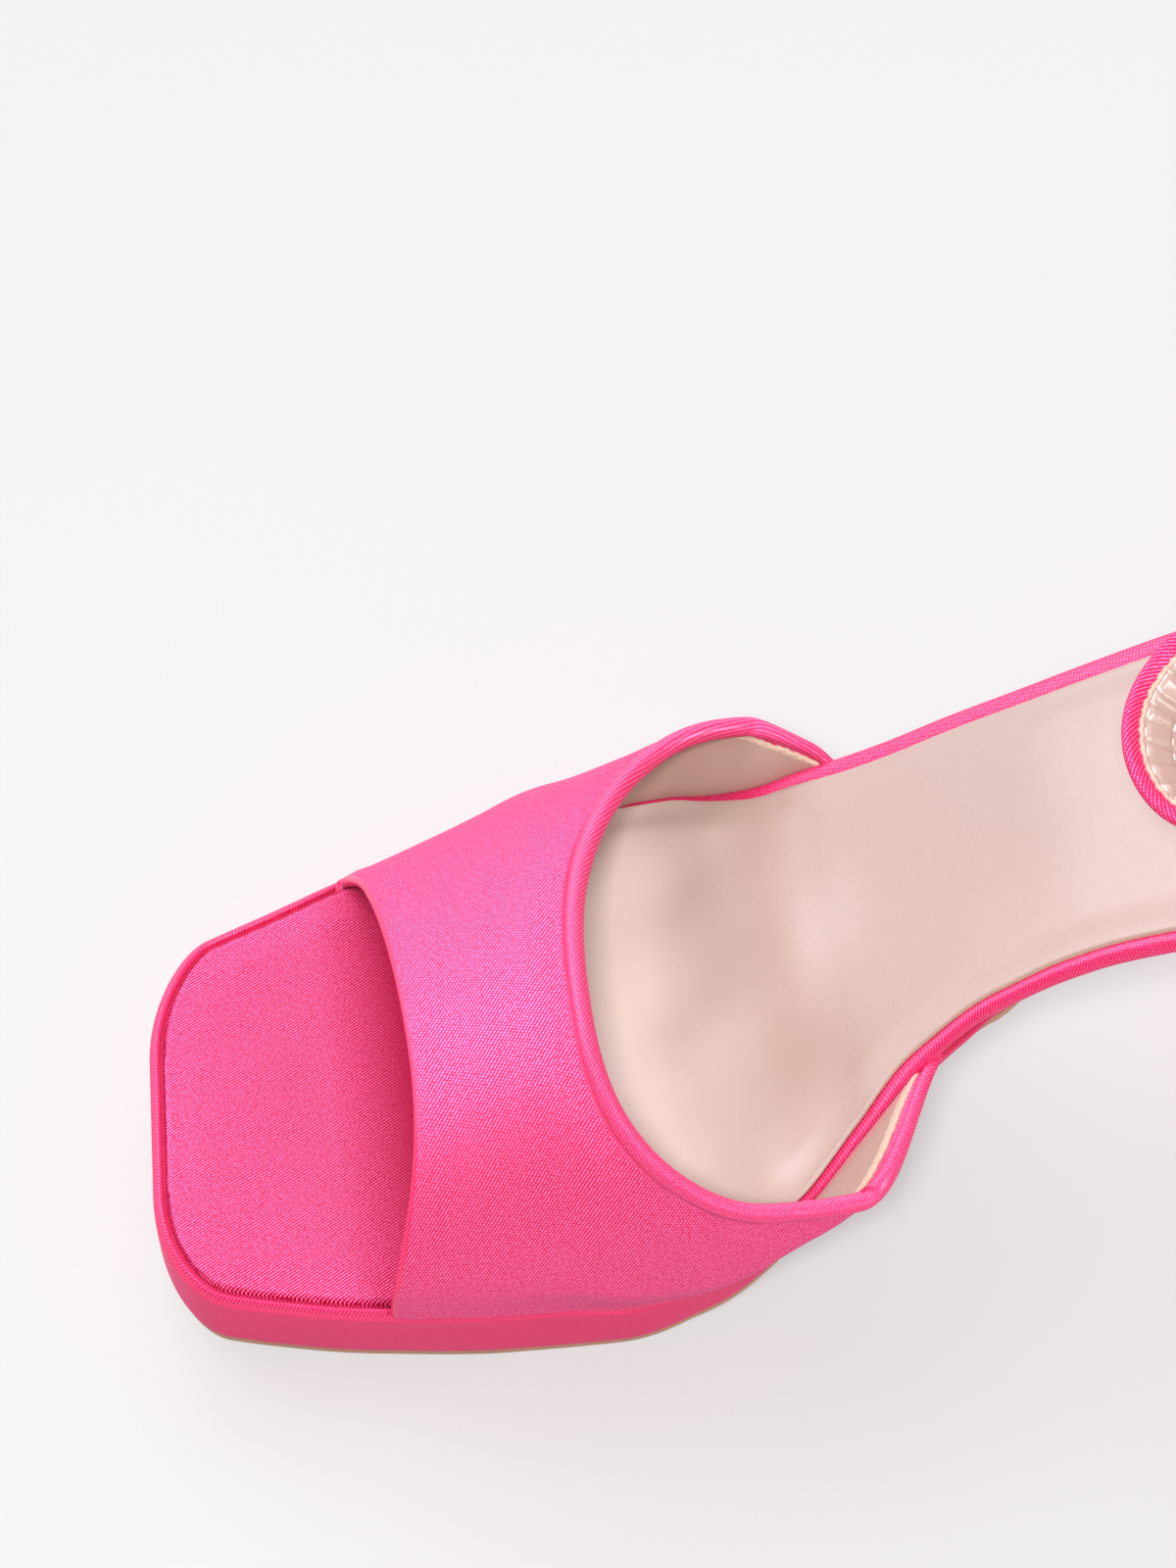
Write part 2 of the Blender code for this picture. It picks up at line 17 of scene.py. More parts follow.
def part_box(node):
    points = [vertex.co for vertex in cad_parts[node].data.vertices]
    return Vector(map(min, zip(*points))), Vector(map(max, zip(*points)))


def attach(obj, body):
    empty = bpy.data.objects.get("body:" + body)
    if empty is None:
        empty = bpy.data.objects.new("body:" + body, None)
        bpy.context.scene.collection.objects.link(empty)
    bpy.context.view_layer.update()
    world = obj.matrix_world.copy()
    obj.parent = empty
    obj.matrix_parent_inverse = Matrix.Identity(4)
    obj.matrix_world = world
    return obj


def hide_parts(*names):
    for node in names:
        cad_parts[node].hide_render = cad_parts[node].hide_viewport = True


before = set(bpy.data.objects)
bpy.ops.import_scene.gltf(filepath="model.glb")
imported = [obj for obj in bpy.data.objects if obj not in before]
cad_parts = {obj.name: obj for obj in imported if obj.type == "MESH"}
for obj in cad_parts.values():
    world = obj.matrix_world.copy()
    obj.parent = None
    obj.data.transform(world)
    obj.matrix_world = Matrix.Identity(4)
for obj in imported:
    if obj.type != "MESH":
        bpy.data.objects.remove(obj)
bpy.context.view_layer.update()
MM = 0.001

# Driving sizes, as in the solid model
SHOE_LENGTH = 226.0
GAP = 0.3
BOARD_THICK = 2.5
BOARD_RECESS = 1.1
SOCK_THICK = 1.2
TOE_SOCK_INSET = 2.15
TOE_SOCK_END = 52.0
PLATFORM_END = 128.0
OUTSOLE_THICK = 1.9
LIP_HEIGHT = 1.9
LIP_RAMP = 0.8
LIP_FADE = 58.0
HEEL_BREAST = 170.0
HEEL_TIP_THICK = 5.0
TOE_SLANT = 0.075
TOE_SLANT_REACH = 31.0
TOE_CORNER = {"lateral": 10.0, "medial": 9.5}
TOE_FLAT = {"lateral": 8.0, "medial": 15.0}
HEEL_CURVE = 30.0
HEEL_FLAT = 3.0
WALL = 1.8
VAMP_FRONT_SIDE = 32.0
VAMP_FRONT_MIDDLE = 38.6
VAMP_FRONT_BOW = {"lateral": 1.0, "medial": 2.4}
VAMP_THROAT = 66.0
VAMP_TAIL = {"lateral": 112.0, "medial": 119.0}
THROAT_SHARPNESS = 2.4
TUCK_DEPTH = 2.6
TUCK_START = 31.2
TUCK_LENGTH = 0.4
TUCK_FADE = 70.0
TUCK_END = 84.0
SEAT_RISE = 5.0
FLARE_RISE = 11.0
CREST_SKEW = 10.0
COUNTER_FRONT = 173.0
COUNTER_RISE = 56.0
COUNTER_LEAN = 7.0
COUNTER_BULGE = 1.2
STRAP_WIDTH = 11.0
STRAP_ROOT = 204.0
STRAP_LOOP = 192.0
STRAP_APEX = 149.0
STRAP_MIDDLE = 2.6
STRAP_HALF = 19.0
STRAP_ROOT_HEIGHT = 128.0
STRAP_APEX_HEIGHT = 93.0
STRAP_SWAY = -4.5
STRAP_SLACK = 7.0         # the soft loop spreads a little towards its apex
STRAP_ROOT_TILT = -4.0
STRAP_APEX_TILT = 58.0
STRAP_ROOT_SHARE = 0.12
STRAP_OUTSIDE = 1.1
STRAP_INSIDE = 0.9


def table(columns, *rows):
    """A table's rows, with named columns."""
    row_kind = namedtuple("Row", columns)
    return tuple(row_kind(*row) for row in rows)


SOLE_SECTIONS = table(
    "along lateral medial",
    (0.0, 24.6, 31.5),
    (16.0, 31.0, 35.6),
    (32.0, 36.9, 38.7),
    (50.0, 41.9, 40.8),
    (68.0, 43.6, 41.3),
    (82.0, 42.7, 39.4),
    (95.0, 40.0, 34.9),
    (105.0, 37.4, 27.5),
    (115.0, 35.4, 20.6),
    (126.0, 33.8, 17.4),
    (140.0, 31.6, 18.2),
    (156.0, 30.0, 20.8),
    (178.0, 29.2, 23.0),
    (200.0, 28.8, 23.8),
    (226.0, 28.0, 23.4),
)

PROFILES = table(
    "along insole platform",
    (0.0, 18.8, 10.6),
    (14.0, 16.7, 10.6),
    (28.0, 15.6, 10.6),
    (66.0, 15.6, 10.6),
    (78.0, 18.4, 9.4),
    (92.0, 26.6, 6.9),
    (108.0, 38.2, 3.8),
    (128.0, 53.2, 1.4),
    (142.0, 63.2, 1.4),
    (158.0, 73.0, 1.4),
    (176.0, 81.4, 1.4),
    (200.0, 88.8, 1.4),
    (226.0, 93.4, 1.4),
)

VAMP_SECTIONS = table(
    "along lateral medial crest lateral_slope medial_slope",
    (28.0, 36.6, 39.6, 24.1, 1.7, 1.3),
    (40.0, 41.0, 41.6, 28.6, 1.55, 1.25),
    (55.0, 45.3, 43.4, 35.1, 1.35, 1.2),
    (68.0, 48.4, 45.0, 40.6, 1.15, 1.1),
    (82.0, 48.7, 46.1, 46.1, 1.05, 1.0),
    (95.0, 46.3, 44.3, 50.6, 1.0, 1.0),
    (104.0, 43.4, 42.8, 53.6, 1.0, 1.0),
    (112.0, 39.8, 40.3, 55.6, 1.0, 1.0),
    (120.0, 38.1, 32.5, 57.6, 1.0, 1.0),
)

COUNTER_ROWS = table(
    "along rise",
    (173.0, 4.0),
    (181.0, 15.0),
    (190.0, 34.0),
    (200.0, 46.0),
    (212.0, 53.0),
    (226.0, COUNTER_RISE),
)

# Counts of smooth steps
TOE_STEPS = 26
SOLE_STEPS = 150
HEEL_STEPS = 26
ACROSS_STEPS = 72
EDGE_STEPS = 4
VAMP_STEPS_ROUND = 300
VAMP_STEPS_ALONG = 30
WING_CROWDING = 0.72
COUNTER_STEPS = 24
STRAP_STEPS = 330
STATION_ROOM = 0.15       # the least distance between two places along the shoe


def smooth_curve(rows, column):
    """A function through a table's column over its along column, with no overshoot between rows."""
    places = np.array([row.along for row in rows])
    values = np.array([getattr(row, column) for row in rows])
    steps = np.diff(values) / np.diff(places)
    slopes = [steps[0]]
    for before, after in zip(steps, steps[1:]):
        slopes.append(2 * before * after / (before + after) if before * after > 0 else 0.0)
    slopes = np.array(slopes + [steps[-1]])

    def value(along):
        along = np.clip(along, places[0], places[-1])
        i = np.clip(np.searchsorted(places, along, side="right") - 1, 0, len(places) - 2)
        width = places[i + 1] - places[i]
        s = (along - places[i]) / width
        return (values[i] * (1 + 2 * s) * (1 - s) ** 2 + values[i + 1] * s * s * (3 - 2 * s)
                + width * s * (1 - s) * (slopes[i] * (1 - s) - slopes[i + 1] * s))

    return value


SIDES = ("lateral", "medial")
insole_height = smooth_curve(PROFILES, "insole")
platform_depth = smooth_curve(PROFILES, "platform")
vamp_crest = smooth_curve(VAMP_SECTIONS, "crest")
counter_top = smooth_curve(COUNTER_ROWS, "rise")
SOLE_WIDTH = {side: smooth_curve(SOLE_SECTIONS, side) for side in SIDES}
VAMP_WIDTH = {side: smooth_curve(VAMP_SECTIONS, side) for side in SIDES}
VAMP_SLOPE = {side: smooth_curve(VAMP_SECTIONS, side + "_slope") for side in SIDES}


def smoothstep(s):
    s = np.clip(s, 0.0, 1.0)
    return s * s * (3 - 2 * s)


def ramp(along, start, length):
    """Rises softly from 0 at a place along the shoe to 1 a length behind it."""
    return smoothstep((along - start) / length)


def stay(along, start, rise, end, fall):
    """Rises softly to 1 behind a place along the shoe, and falls back to 0 behind another."""
    return ramp(along, start, rise) * (1 - ramp(along, end, fall))


def unit(vectors):
    return vectors / np.linalg.norm(vectors, axis=-1, keepdims=True)


def run_along(points):
    """Distance from the first of a line of points to each of them."""
    return np.concatenate([[0.0], np.cumsum(np.linalg.norm(np.diff(points, axis=0), axis=1))])


def bump(distance, reach):
    """A soft bell: 1 at distance 0, and close to 0 past two reaches."""
    return np.exp(-(distance / reach) ** 2)


def below(along, depth):
    """Height of a surface that lies depth under the insole, measured square to it."""
    slope = insole_height(along + 0.5) - insole_height(along - 0.5)
    return insole_height(along) - depth * np.hypot(1.0, slope)


def rounded_end(width, flat, share):
    """Half width near an end that closes with a quarter ellipse from a flat; share is 0 at the end."""
    share = np.minimum(share, 1.0)
    return flat + (width - flat) * np.sqrt(1 - (1 - share) ** 2)


def half_width(side, along):
    width = rounded_end(SOLE_WIDTH[side](along), TOE_FLAT[side], along / TOE_CORNER[side])
    return rounded_end(width, HEEL_FLAT, (SHOE_LENGTH - along) / HEEL_CURVE)


def station_list():
    """Places along the shoe, close together where the outline turns."""
    front = TOE_CORNER["lateral"] * (1 - np.cos(np.linspace(0, math.pi / 2, TOE_STEPS, endpoint=False)))
    middle = np.linspace(TOE_CORNER["lateral"], SHOE_LENGTH - HEEL_CURVE, SOLE_STEPS, endpoint=False)
    back = SHOE_LENGTH - HEEL_CURVE * (1 - np.sin(np.linspace(0, math.pi / 2, HEEL_STEPS)))
    tucked = TUCK_START + TUCK_LENGTH
    fixed = np.array([TUCK_START, TUCK_START + TUCK_LENGTH / 2, tucked, tucked + LIP_RAMP / 2,
                      tucked + LIP_RAMP, TOE_SOCK_END, TOE_SOCK_END + GAP, PLATFORM_END,
                      HEEL_BREAST, HEEL_BREAST + GAP, COUNTER_FRONT])
    free = [a for a in np.concatenate([front, middle, back]) if np.abs(fixed - a).min() > STATION_ROOM]
    return np.sort(np.concatenate([free, fixed]))


STATIONS = station_list()


def sole_outline():
    """Plan points of the board's edge: the lateral side from toe to heel, then the medial side back."""
    sides = []
    for sign, side in ((1, "lateral"), (-1, "medial")):
        across = sign * half_width(side, STATIONS)
        fade = np.maximum(0.0, 1 - STATIONS / TOE_SLANT_REACH)
        sides.append(np.stack([STATIONS + TOE_SLANT * across * fade, across], axis=1))
    return np.concatenate([sides[0], sides[1][::-1]])


OUTLINE = sole_outline()
TANGENTS = unit(np.roll(OUTLINE, -1, axis=0) - np.roll(OUTLINE, 1, axis=0))
INWARD = np.stack([TANGENTS[:, 1], -TANGENTS[:, 0]], axis=1)


def station_index(along):
    return int(np.abs(STATIONS - along).argmin())


def sole_ring(inset, height, start=0.0, end=SHOE_LENGTH):
    """The outline between two stations, moved in by inset, at the height that its place along gives."""
    count = len(STATIONS)
    first, last = station_index(start), station_index(end)
    kept = list(range(first, last + 1)) + list(range(2 * count - 1 - last, 2 * count - first))
    plan = OUTLINE[kept] + INWARD[kept] * np.asarray(inset(OUTLINE[kept, 0])).reshape(-1, 1)
    return np.column_stack([plan, height(plan[:, 0])])


def sided_ring(inset, height, **span):
    """A ring whose inset differs between its sides: inset is a function of the side and the place along."""
    lateral, medial = (sole_ring(lambda a: inset(side, a), height, **span) for side in SIDES)
    half = len(lateral) // 2
    return np.concatenate([lateral[:half], medial[half:]])


def tuck(along):
    """How far the board lies inside the sole's outline, to leave room for the vamp's wall beside it."""
    return TUCK_DEPTH * stay(along, TUCK_START, TUCK_LENGTH, TUCK_FADE, TUCK_END - TUCK_FADE)


def lip(along):
    """Height of the platform's edge beside the board, on which the vamp's wall stands."""
    return LIP_HEIGHT * stay(along, TUCK_START + TUCK_LENGTH, LIP_RAMP, LIP_FADE, TUCK_FADE - LIP_FADE)


def frame_origin():
    """The shoe's plan point that lies over the frame's origin, found from the board's place in the frame."""
    edge = sole_ring(tuck, insole_height)
    low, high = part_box("insole_board")
    middle = (edge.min(axis=0) + edge.max(axis=0)) / 2
    return np.array((middle[0] - (low.x + high.x) / 2 / MM, middle[1] - (low.y + high.y) / 2 / MM, 0.0))


ORIGIN = frame_origin()


# Materials

NOISE_LOW = 0.3           # most of a noise lies between these values
NOISE_HIGH = 0.7


class Nodes:
    """A node tree under construction."""

    def __init__(self, owner):
        owner.use_nodes = True
        self.tree = owner.node_tree

    def add(self, kind, inputs=(), output=0, **settings):
        """Adds a node, sets or links its inputs, and returns one of its outputs."""
        node = self.tree.nodes.new(kind)
        for key, value in settings.items():
            setattr(node, key, value)
        for key, value in dict(inputs).items():
            self.fill(node.inputs[key], value)
        return node.outputs[output]

    def fill(self, socket, value):
        """Links an output to a socket or sets its value. Colours are opaque."""
        if isinstance(value, bpy.types.NodeSocket):
            self.tree.links.new(value, socket)
        elif socket.type == "RGBA":
            socket.default_value = (*value, 1.0)
        else:
            socket.default_value = value


class Finish(Nodes):
    """A node material under construction."""

    def __init__(self, name):
        self.material = bpy.data.materials.new(name)
        super().__init__(self.material)
        self.shader = self.tree.nodes["Principled BSDF"]

    def math(self, operation, first, second=0.0):
        return self.add("ShaderNodeMath", {0: first, 1: second}, operation=operation)

    def spread(self, value, low, high, to_low=0.0, to_high=1.0):
        """Maps a value's range to another one, and keeps it inside."""
        return self.add("ShaderNodeMapRange", {"Value": value, "From Min": low, "From Max": high,
                                               "To Min": to_low, "To Max": to_high})

    def stretch(self, start, end, to_start=0.0, to_end=1.0):
        """A value that changes between two places along the shoe, in millimetres from the toe."""
        along = self.add("ShaderNodeSeparateXYZ", {"Vector": self.place()})
        return self.spread(along, (start - ORIGIN[0]) * MM, (end - ORIGIN[0]) * MM, to_start, to_end)

    def noise(self, vector, scale, detail=2.0, roughness=0.5):
        return self.add("ShaderNodeTexNoise", {"Vector": vector, "Scale": scale, "Detail": detail,
                                               "Roughness": roughness})

    def clouds(self, noise, low=0.0, high=1.0):
        """A noise, with the range that most of it lies in spread over another one."""
        return self.spread(noise, NOISE_LOW, NOISE_HIGH, low, high)

    def mix(self, share, first, second):
        node = self.tree.nodes.new("ShaderNodeMix")
        node.data_type = "RGBA"
        self.fill(node.inputs["Factor"], share)
        self.fill(node.inputs["A"], first)
        self.fill(node.inputs["B"], second)
        return node.outputs["Result"]

    def raised(self, height, distance, strength=1.0):
        """A bump of a height map, whose full range stands for a distance in metres."""
        return self.add("ShaderNodeBump", {"Height": height, "Distance": distance, "Strength": strength})

    def use(self, **inputs):
        """Fills the shader's sockets, named with underscores for spaces."""
        for key, value in inputs.items():
            self.fill(self.shader.inputs[key.replace("_", " ")], value)
        return self.material

    def weave(self):
        """Places on the cloth in millimetres, along and across."""
        return self.add("ShaderNodeUVMap", uv_map="cloth")

    def place(self):
        return self.add("ShaderNodeTexCoord", output=3)


TWILL_PITCH = 0.52
TWILL_ANGLE = math.radians(41.0)
CROSS_PITCH = 0.44
CROSS_ANGLE = math.radians(-62.0)
# colour of a painted shade, towards which satin darkens under a part that covers it
SATIN_SHADE = (0.33, 0.0, 0.025)
TWILL_SHARE = 0.7         # of the weave's height, and the cross wave has the rest
FLOAT_EDGES = (0.52, 0.84)  # the weave's height where floats begin to show, and where they are full
FLOAT_SHARE = 0.34        # of the cloth's face that shows as bright floats
FLOAT_DRIFT = 0.03        # how much that changes from place to place
FLECK = 0.22              # unevenness of the floats


def waves(finish, cloth, pitch, angle):
    """A wave across the cloth from 0 to 1, of a pitch in millimetres, running at an angle to the warp."""
    turn = 2 * math.pi / pitch
    way = (turn * math.cos(angle), turn * math.sin(angle), 0.0)
    phase = finish.add("ShaderNodeVectorMath", {0: cloth, 1: way}, output=1, operation="DOT_PRODUCT")
    return finish.math("MULTIPLY_ADD", finish.math("SINE", phase), 0.5)


def satin(name, deep, bright, body, coat=0.0, shade_span=None):
    """Satin cloth: bright floats in a fine twill over deep gaps, and a lilac gloss. body is the share of
    plain colour that stays between them and coat the gloss of tightly drawn cloth. The last argument, if
    given, holds two places along the shoe between which the colour darkens into a painted shade, which
    stands in for the shade under a part that covers the cloth."""
    finish = Finish(name)
    cloth = finish.weave()
    line = waves(finish, cloth, TWILL_PITCH, TWILL_ANGLE)
    cross = waves(finish, cloth, CROSS_PITCH, CROSS_ANGLE)
    fleck = finish.noise(cloth, 2.2, 2.0, 0.6)
    weave = finish.math("ADD", finish.math("MULTIPLY", line, TWILL_SHARE),
                        finish.math("MULTIPLY", cross, 1 - TWILL_SHARE))
    floats = finish.math("ADD", weave, finish.clouds(fleck, -FLECK, FLECK))
    floats = finish.spread(floats, *FLOAT_EDGES)
    drift = finish.noise(finish.place(), 25.0, 2.0, 0.5)
    plain = finish.clouds(drift, FLOAT_SHARE - FLOAT_DRIFT, FLOAT_SHARE + FLOAT_DRIFT)
    tone = finish.add("ShaderNodeMix", {"Factor": body, "A": floats, "B": plain})
    colour = finish.mix(tone, deep, bright)
    # painted shade: between the two places the colour darkens to SATIN_SHADE
    if shade_span:
        colour = finish.mix(finish.stretch(*shade_span), colour, SATIN_SHADE)
    return finish.use(
        Base_Color=colour,
        Metallic=0.45,
        Roughness=finish.spread(tone, 0.0, 1.0, 0.60, 0.38),
        Specular_IOR_Level=0.3,
        Specular_Tint=(1.0, 0.6, 1.0),
        Coat_Weight=coat,
        Coat_Roughness=0.22,
        Normal=finish.raised(weave, 0.00005, 0.8 * (1 - body)),
    )


PEBBLE_HEIGHT = -0.7      # of the grain, whose pebbles lie between furrows
PORE_HEIGHT = 0.5
# painted light: the sock's colour is painted paler over the ball, where the vamp keeps light off it
BALL_LIGHT_SPAN = (70.0, 105.0)      # the sock is palest over the ball, up to the first place, and plain from the second


def leather(name, colour, shade, grain, relief, ball_light=None):
    """Smooth leather: fine pebbled grain of a size in millimetres, faint clouding and a soft gloss.
    The last colour, if given, is painted light: a paler colour over the ball, where the vamp keeps light off
    it."""
    finish = Finish(name)
    place = finish.place()
    scale = 1 / (grain * MM)
    pebble = finish.add("ShaderNodeTexVoronoi", {"Vector": place, "Scale": scale}, feature="SMOOTH_F1")
    pore = finish.noise(place, 0.6 * scale, 4.0, 0.6)
    height = finish.math("ADD", finish.math("MULTIPLY", pebble, PEBBLE_HEIGHT),
                         finish.math("MULTIPLY", pore, PORE_HEIGHT))
    cloud = finish.clouds(finish.noise(place, 45.0, 4.0, 0.6))
    tone = finish.mix(cloud, shade, colour)
    # painted light on the ball
    if ball_light:
        tone = finish.mix(finish.stretch(*BALL_LIGHT_SPAN), ball_light, tone)
    return finish.use(
        Base_Color=tone,
        Roughness=finish.clouds(pore, 0.28, 0.40),
        Specular_IOR_Level=0.8,
        Coat_Weight=0.6,
        Coat_Roughness=0.22,
        Normal=finish.raised(height, 0.00006, relief),
    )


def fibre(name, colour, shade):
    """Raw cut edge: pale fibres, matt and uneven."""
    finish = Finish(name)
    place = finish.place()
    strands = finish.noise(place, 2400.0, 4.0, 0.7)
    return finish.use(
        Base_Color=finish.mix(finish.clouds(strands), shade, colour),
        Roughness=0.85,
        Normal=finish.raised(strands, 0.0002, 0.8),
    )


def rubber(name, colour, shade):
    """Moulded rubber with a fine leather-like print."""
    finish = Finish(name)
    place = finish.place()
    print_ = finish.noise(place, 1500.0, 3.0, 0.6)
    cloud = finish.clouds(finish.noise(place, 70.0, 3.0, 0.6))
    return finish.use(
        Base_Color=finish.mix(cloud, shade, colour),
        Roughness=finish.clouds(print_, 0.5, 0.65),
        Normal=finish.raised(print_, 0.0001, 0.5),
    )


SATIN_DEEP = (0.62, 0.0003, 0.045)
SATIN_BRIGHT = (1.0, 0.25, 0.58)
SATIN = satin("satin", SATIN_DEEP, SATIN_BRIGHT, 0.25)
# darker satin for the vamp's folded front edge: painted shade there, with a gloss of tightly drawn cloth
SATIN_FOLD_SHADE = satin("satin_fold_shade", (0.66, 0.002, 0.055), (0.94, 0.09, 0.28), 0.55, 0.7)
SATIN_RIM = satin("satin_rim", (0.62, 0.0005, 0.05), (1.0, 0.11, 0.35), 0.3, 0.5)
SATIN_BEAD = satin("satin_bead", (0.64, 0.003, 0.065), (0.97, 0.19, 0.45), 0.5, 0.35)
# the toe sock is painted darker towards the vamp's front edge: a painted shade of that edge
SATIN_TOE = satin("satin_toe", (0.50, 0.0003, 0.035), (1.0, 0.24, 0.58), 0.0, shade_span=(27.0, 42.0))
SATIN_STRAP = satin("satin_strap", SATIN_DEEP, (0.97, 0.17, 0.43), 0.25)
SATIN_WALL = satin("satin_wall", (0.66, 0.020, 0.09), (0.80, 0.12, 0.26), 0.75)
# the sock's last colour is painted light over the ball
NUDE = leather("nude_leather", (0.30, 0.190, 0.143), (0.286, 0.179, 0.134), 0.42, 0.35, (0.70, 0.58, 0.53))
LINING = leather("lining_leather", (0.42, 0.265, 0.217), (0.40, 0.25, 0.203), 0.42, 0.35)
GATHERS = leather("gathered_leather", (0.41, 0.285, 0.245), (0.39, 0.27, 0.23), 0.42, 0.35)
CREAM = fibre("raw_edge", (0.62, 0.46, 0.35), (0.46, 0.31, 0.23))
TAN = rubber("tan_sole", (0.40, 0.20, 0.12), (0.35, 0.17, 0.10))
THREAD = fibre("stitch_thread", (0.72, 0.70, 0.66), (0.60, 0.57, 0.53))


# Meshes

SHARP_ANGLE = 50.0        # degrees between faces that keep an edge


def placed(name, data):
    made = bpy.data.objects.new(name, data)
    bpy.context.scene.collection.objects.link(made)
    return made


def finished(name, mesh, finishes, node=None):
    """Makes an object of a mesh in the frame, smooth and outward, that may stand in for a solid."""
    data = bpy.data.meshes.new(name)
    mesh.to_mesh(data)
    mesh.free()
    data.shade_smooth()
    data.set_sharp_from_angle(angle=math.radians(SHARP_ANGLE))
    for finish in finishes:
        data.materials.append(finish)
    made = placed(name, data)
    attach(made, "root")
    if node:
        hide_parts(node)
    return made


def turned(u, v, bias):
    """Places on the cloth, turned by bias degrees."""
    cosine, sine = math.cos(math.radians(bias)), math.sin(math.radians(bias))
    return np.dstack([u * cosine - v * sine, u * sine + v * cosine])


def cloth_places(grid, bias):
    """Places on the cloth that covers a closed grid, from its mean lengths round and down."""
    across = np.linalg.norm(np.diff(grid, axis=1), axis=2).mean(axis=0)
    down = np.linalg.norm(np.diff(grid, axis=0), axis=2).mean(axis=1)
    u, v = np.meshgrid(np.concatenate([[0.0], np.cumsum(across)]), np.concatenate([[0.0], np.cumsum(down)]))
    return turned(u, v, bias)


def grid_mesh(grid, wrap=False, caps=False, bias=0.0, pick=None, cloth=None):
    """A mesh through a grid of points. wrap joins each row's end to its start; caps closes the first and
    last rows by rungs between their two halves. cloth holds each point's place on the cloth, in
    millimetres, and otherwise the grid's own lengths give it. pick(row, column) chooses a face's material."""
    rows, columns = grid.shape[:2]
    mesh = bmesh.new()
    layer = mesh.loops.layers.uv.new("cloth")
    verts = [[mesh.verts.new((point - ORIGIN) * MM) for point in row] for row in grid]
    closed = np.concatenate([grid, grid[:, :1]], axis=1) if wrap else grid
    if cloth is None:
        cloth = cloth_places(closed, bias)
    for r in range(rows - 1):
        for c in range(closed.shape[1] - 1):
            after = (c + 1) % columns
            face = mesh.faces.new((verts[r][c], verts[r][after], verts[r + 1][after], verts[r + 1][c]))
            places = (cloth[r, c], cloth[r, c + 1], cloth[r + 1, c + 1], cloth[r + 1, c])
            for loop, place in zip(face.loops, places):
                loop[layer].uv = place
            if pick:
                face.material_index = pick(r, c)
    if caps:
        for row in (verts[0], verts[-1]):
            for c in range(columns // 2 - 1):
                face = mesh.faces.new((row[c], row[c + 1], row[columns - 2 - c], row[columns - 1 - c]))
                for loop in face.loops:
                    loop[layer].uv = (loop.vert.co.x / MM, loop.vert.co.y / MM)
    bmesh.ops.recalc_face_normals(mesh, faces=mesh.faces)
    return mesh


def tube(name, grid, finishes, node=None, slot=None, **options):
    """A closed piece whose cross sections are the rows of a grid."""
    return finished(name, grid_mesh(np.array(grid), wrap=True, caps=True, **options), finishes, node)


def rounded(rows, steps):
    """A smooth open curve through the rows of a table, as an array of points."""
    points = np.array([tuple(row) for row in rows])
    points = np.concatenate([[2 * points[0] - points[1]], points, [2 * points[-1] - points[-2]]])
    made = []
    for a, b, c, d in zip(points, points[1:], points[2:], points[3:]):
        for s in np.arange(steps) / steps:
            made.append(0.5 * (2 * b + (c - a) * s + (2 * a - 5 * b + 4 * c - d) * s ** 2
                               + (3 * b - a - 3 * c + d) * s ** 3))
    return np.array(made + [points[-2]])


# Sole

Edge = namedtuple("Edge", "inset depth")
TOE_RIM = (               # a narrow roll between the wall and a groove
    Edge(1.5, BOARD_THICK),
    Edge(0.6, 2.1),
    Edge(0.32, 1.3),
    Edge(0.42, 0.5),
    Edge(0.9, 0.0),
    Edge(1.4, 0.3),
    Edge(1.75, BOARD_RECESS),
    Edge(4.0, BOARD_RECESS),
)
WAIST_RIM = (             # a broad soft binding that runs in under the sock; inset is a share of its width
    Edge(0.6, BOARD_THICK),
    Edge(0.16, 2.2),
    Edge(0.0, 1.45),
    Edge(0.1, 0.65),
    Edge(0.36, 0.1),
    Edge(0.7, 0.0),
    Edge(1.1, 0.3),
    Edge(1.5, BOARD_RECESS),
)
BINDINGS = table(         # the binding's outer edge in from the outline, and its width up to the sock
    "along lateral lateral_width medial medial_width",
    (60.0, 0.0, 1.6, 0.0, 2.4),
    (76.0, -0.3, 1.2, -0.3, 2.4),
    (85.0, 0.6, 1.2, -0.5, 2.2),
    (92.0, 1.9, 1.8, -0.6, 2.1),
    (98.0, 2.2, 2.6, -0.7, 2.3),
    (105.0, 1.3, 3.0, -0.7, 2.6),
    (112.0, 1.0, 3.4, -0.4, 3.0),
    (118.0, 0.8, 3.4, 0.0, 2.5),
    (126.0, 0.3, 3.4, 0.2, 2.3),
    (135.0, -0.2, 3.4, 0.7, 2.4),
    (158.0, -1.1, 3.5, 0.0, 2.5),
    (172.0, 0.0, 2.5, 0.0, 2.5),
    (226.0, 0.0, 2.5, 0.0, 2.5),
)
binding_inset = {side: smooth_curve(BINDINGS, side) for side in SIDES}
binding_width = {side: smooth_curve(BINDINGS, side + "_width") for side in SIDES}
RIM_CHANGE = 40.0         # under the vamp, where one gives way to the other
RIM_CHANGE_LENGTH = 15.0
RIM_DIVE = 2.0            # the rim ends at the vamp's front edge and comes up again behind it
RIM_DIVE_START = 31.9
RIM_DIVE_LENGTH = 0.3
RIM_RISE = 56.0
RIM_RISE_LENGTH = 12.0
SOCK_TUCK_START = 34.0    # under the vamp the rim and the socks draw in
SOCK_TUCK_LENGTH = 5.0
PLATFORM_SPREAD = 0.2
PLATFORM_DRAFT = 0.1
PLATFORM_TAIL = 121.0
PLATFORM_TAIL_DRAW = 1.4
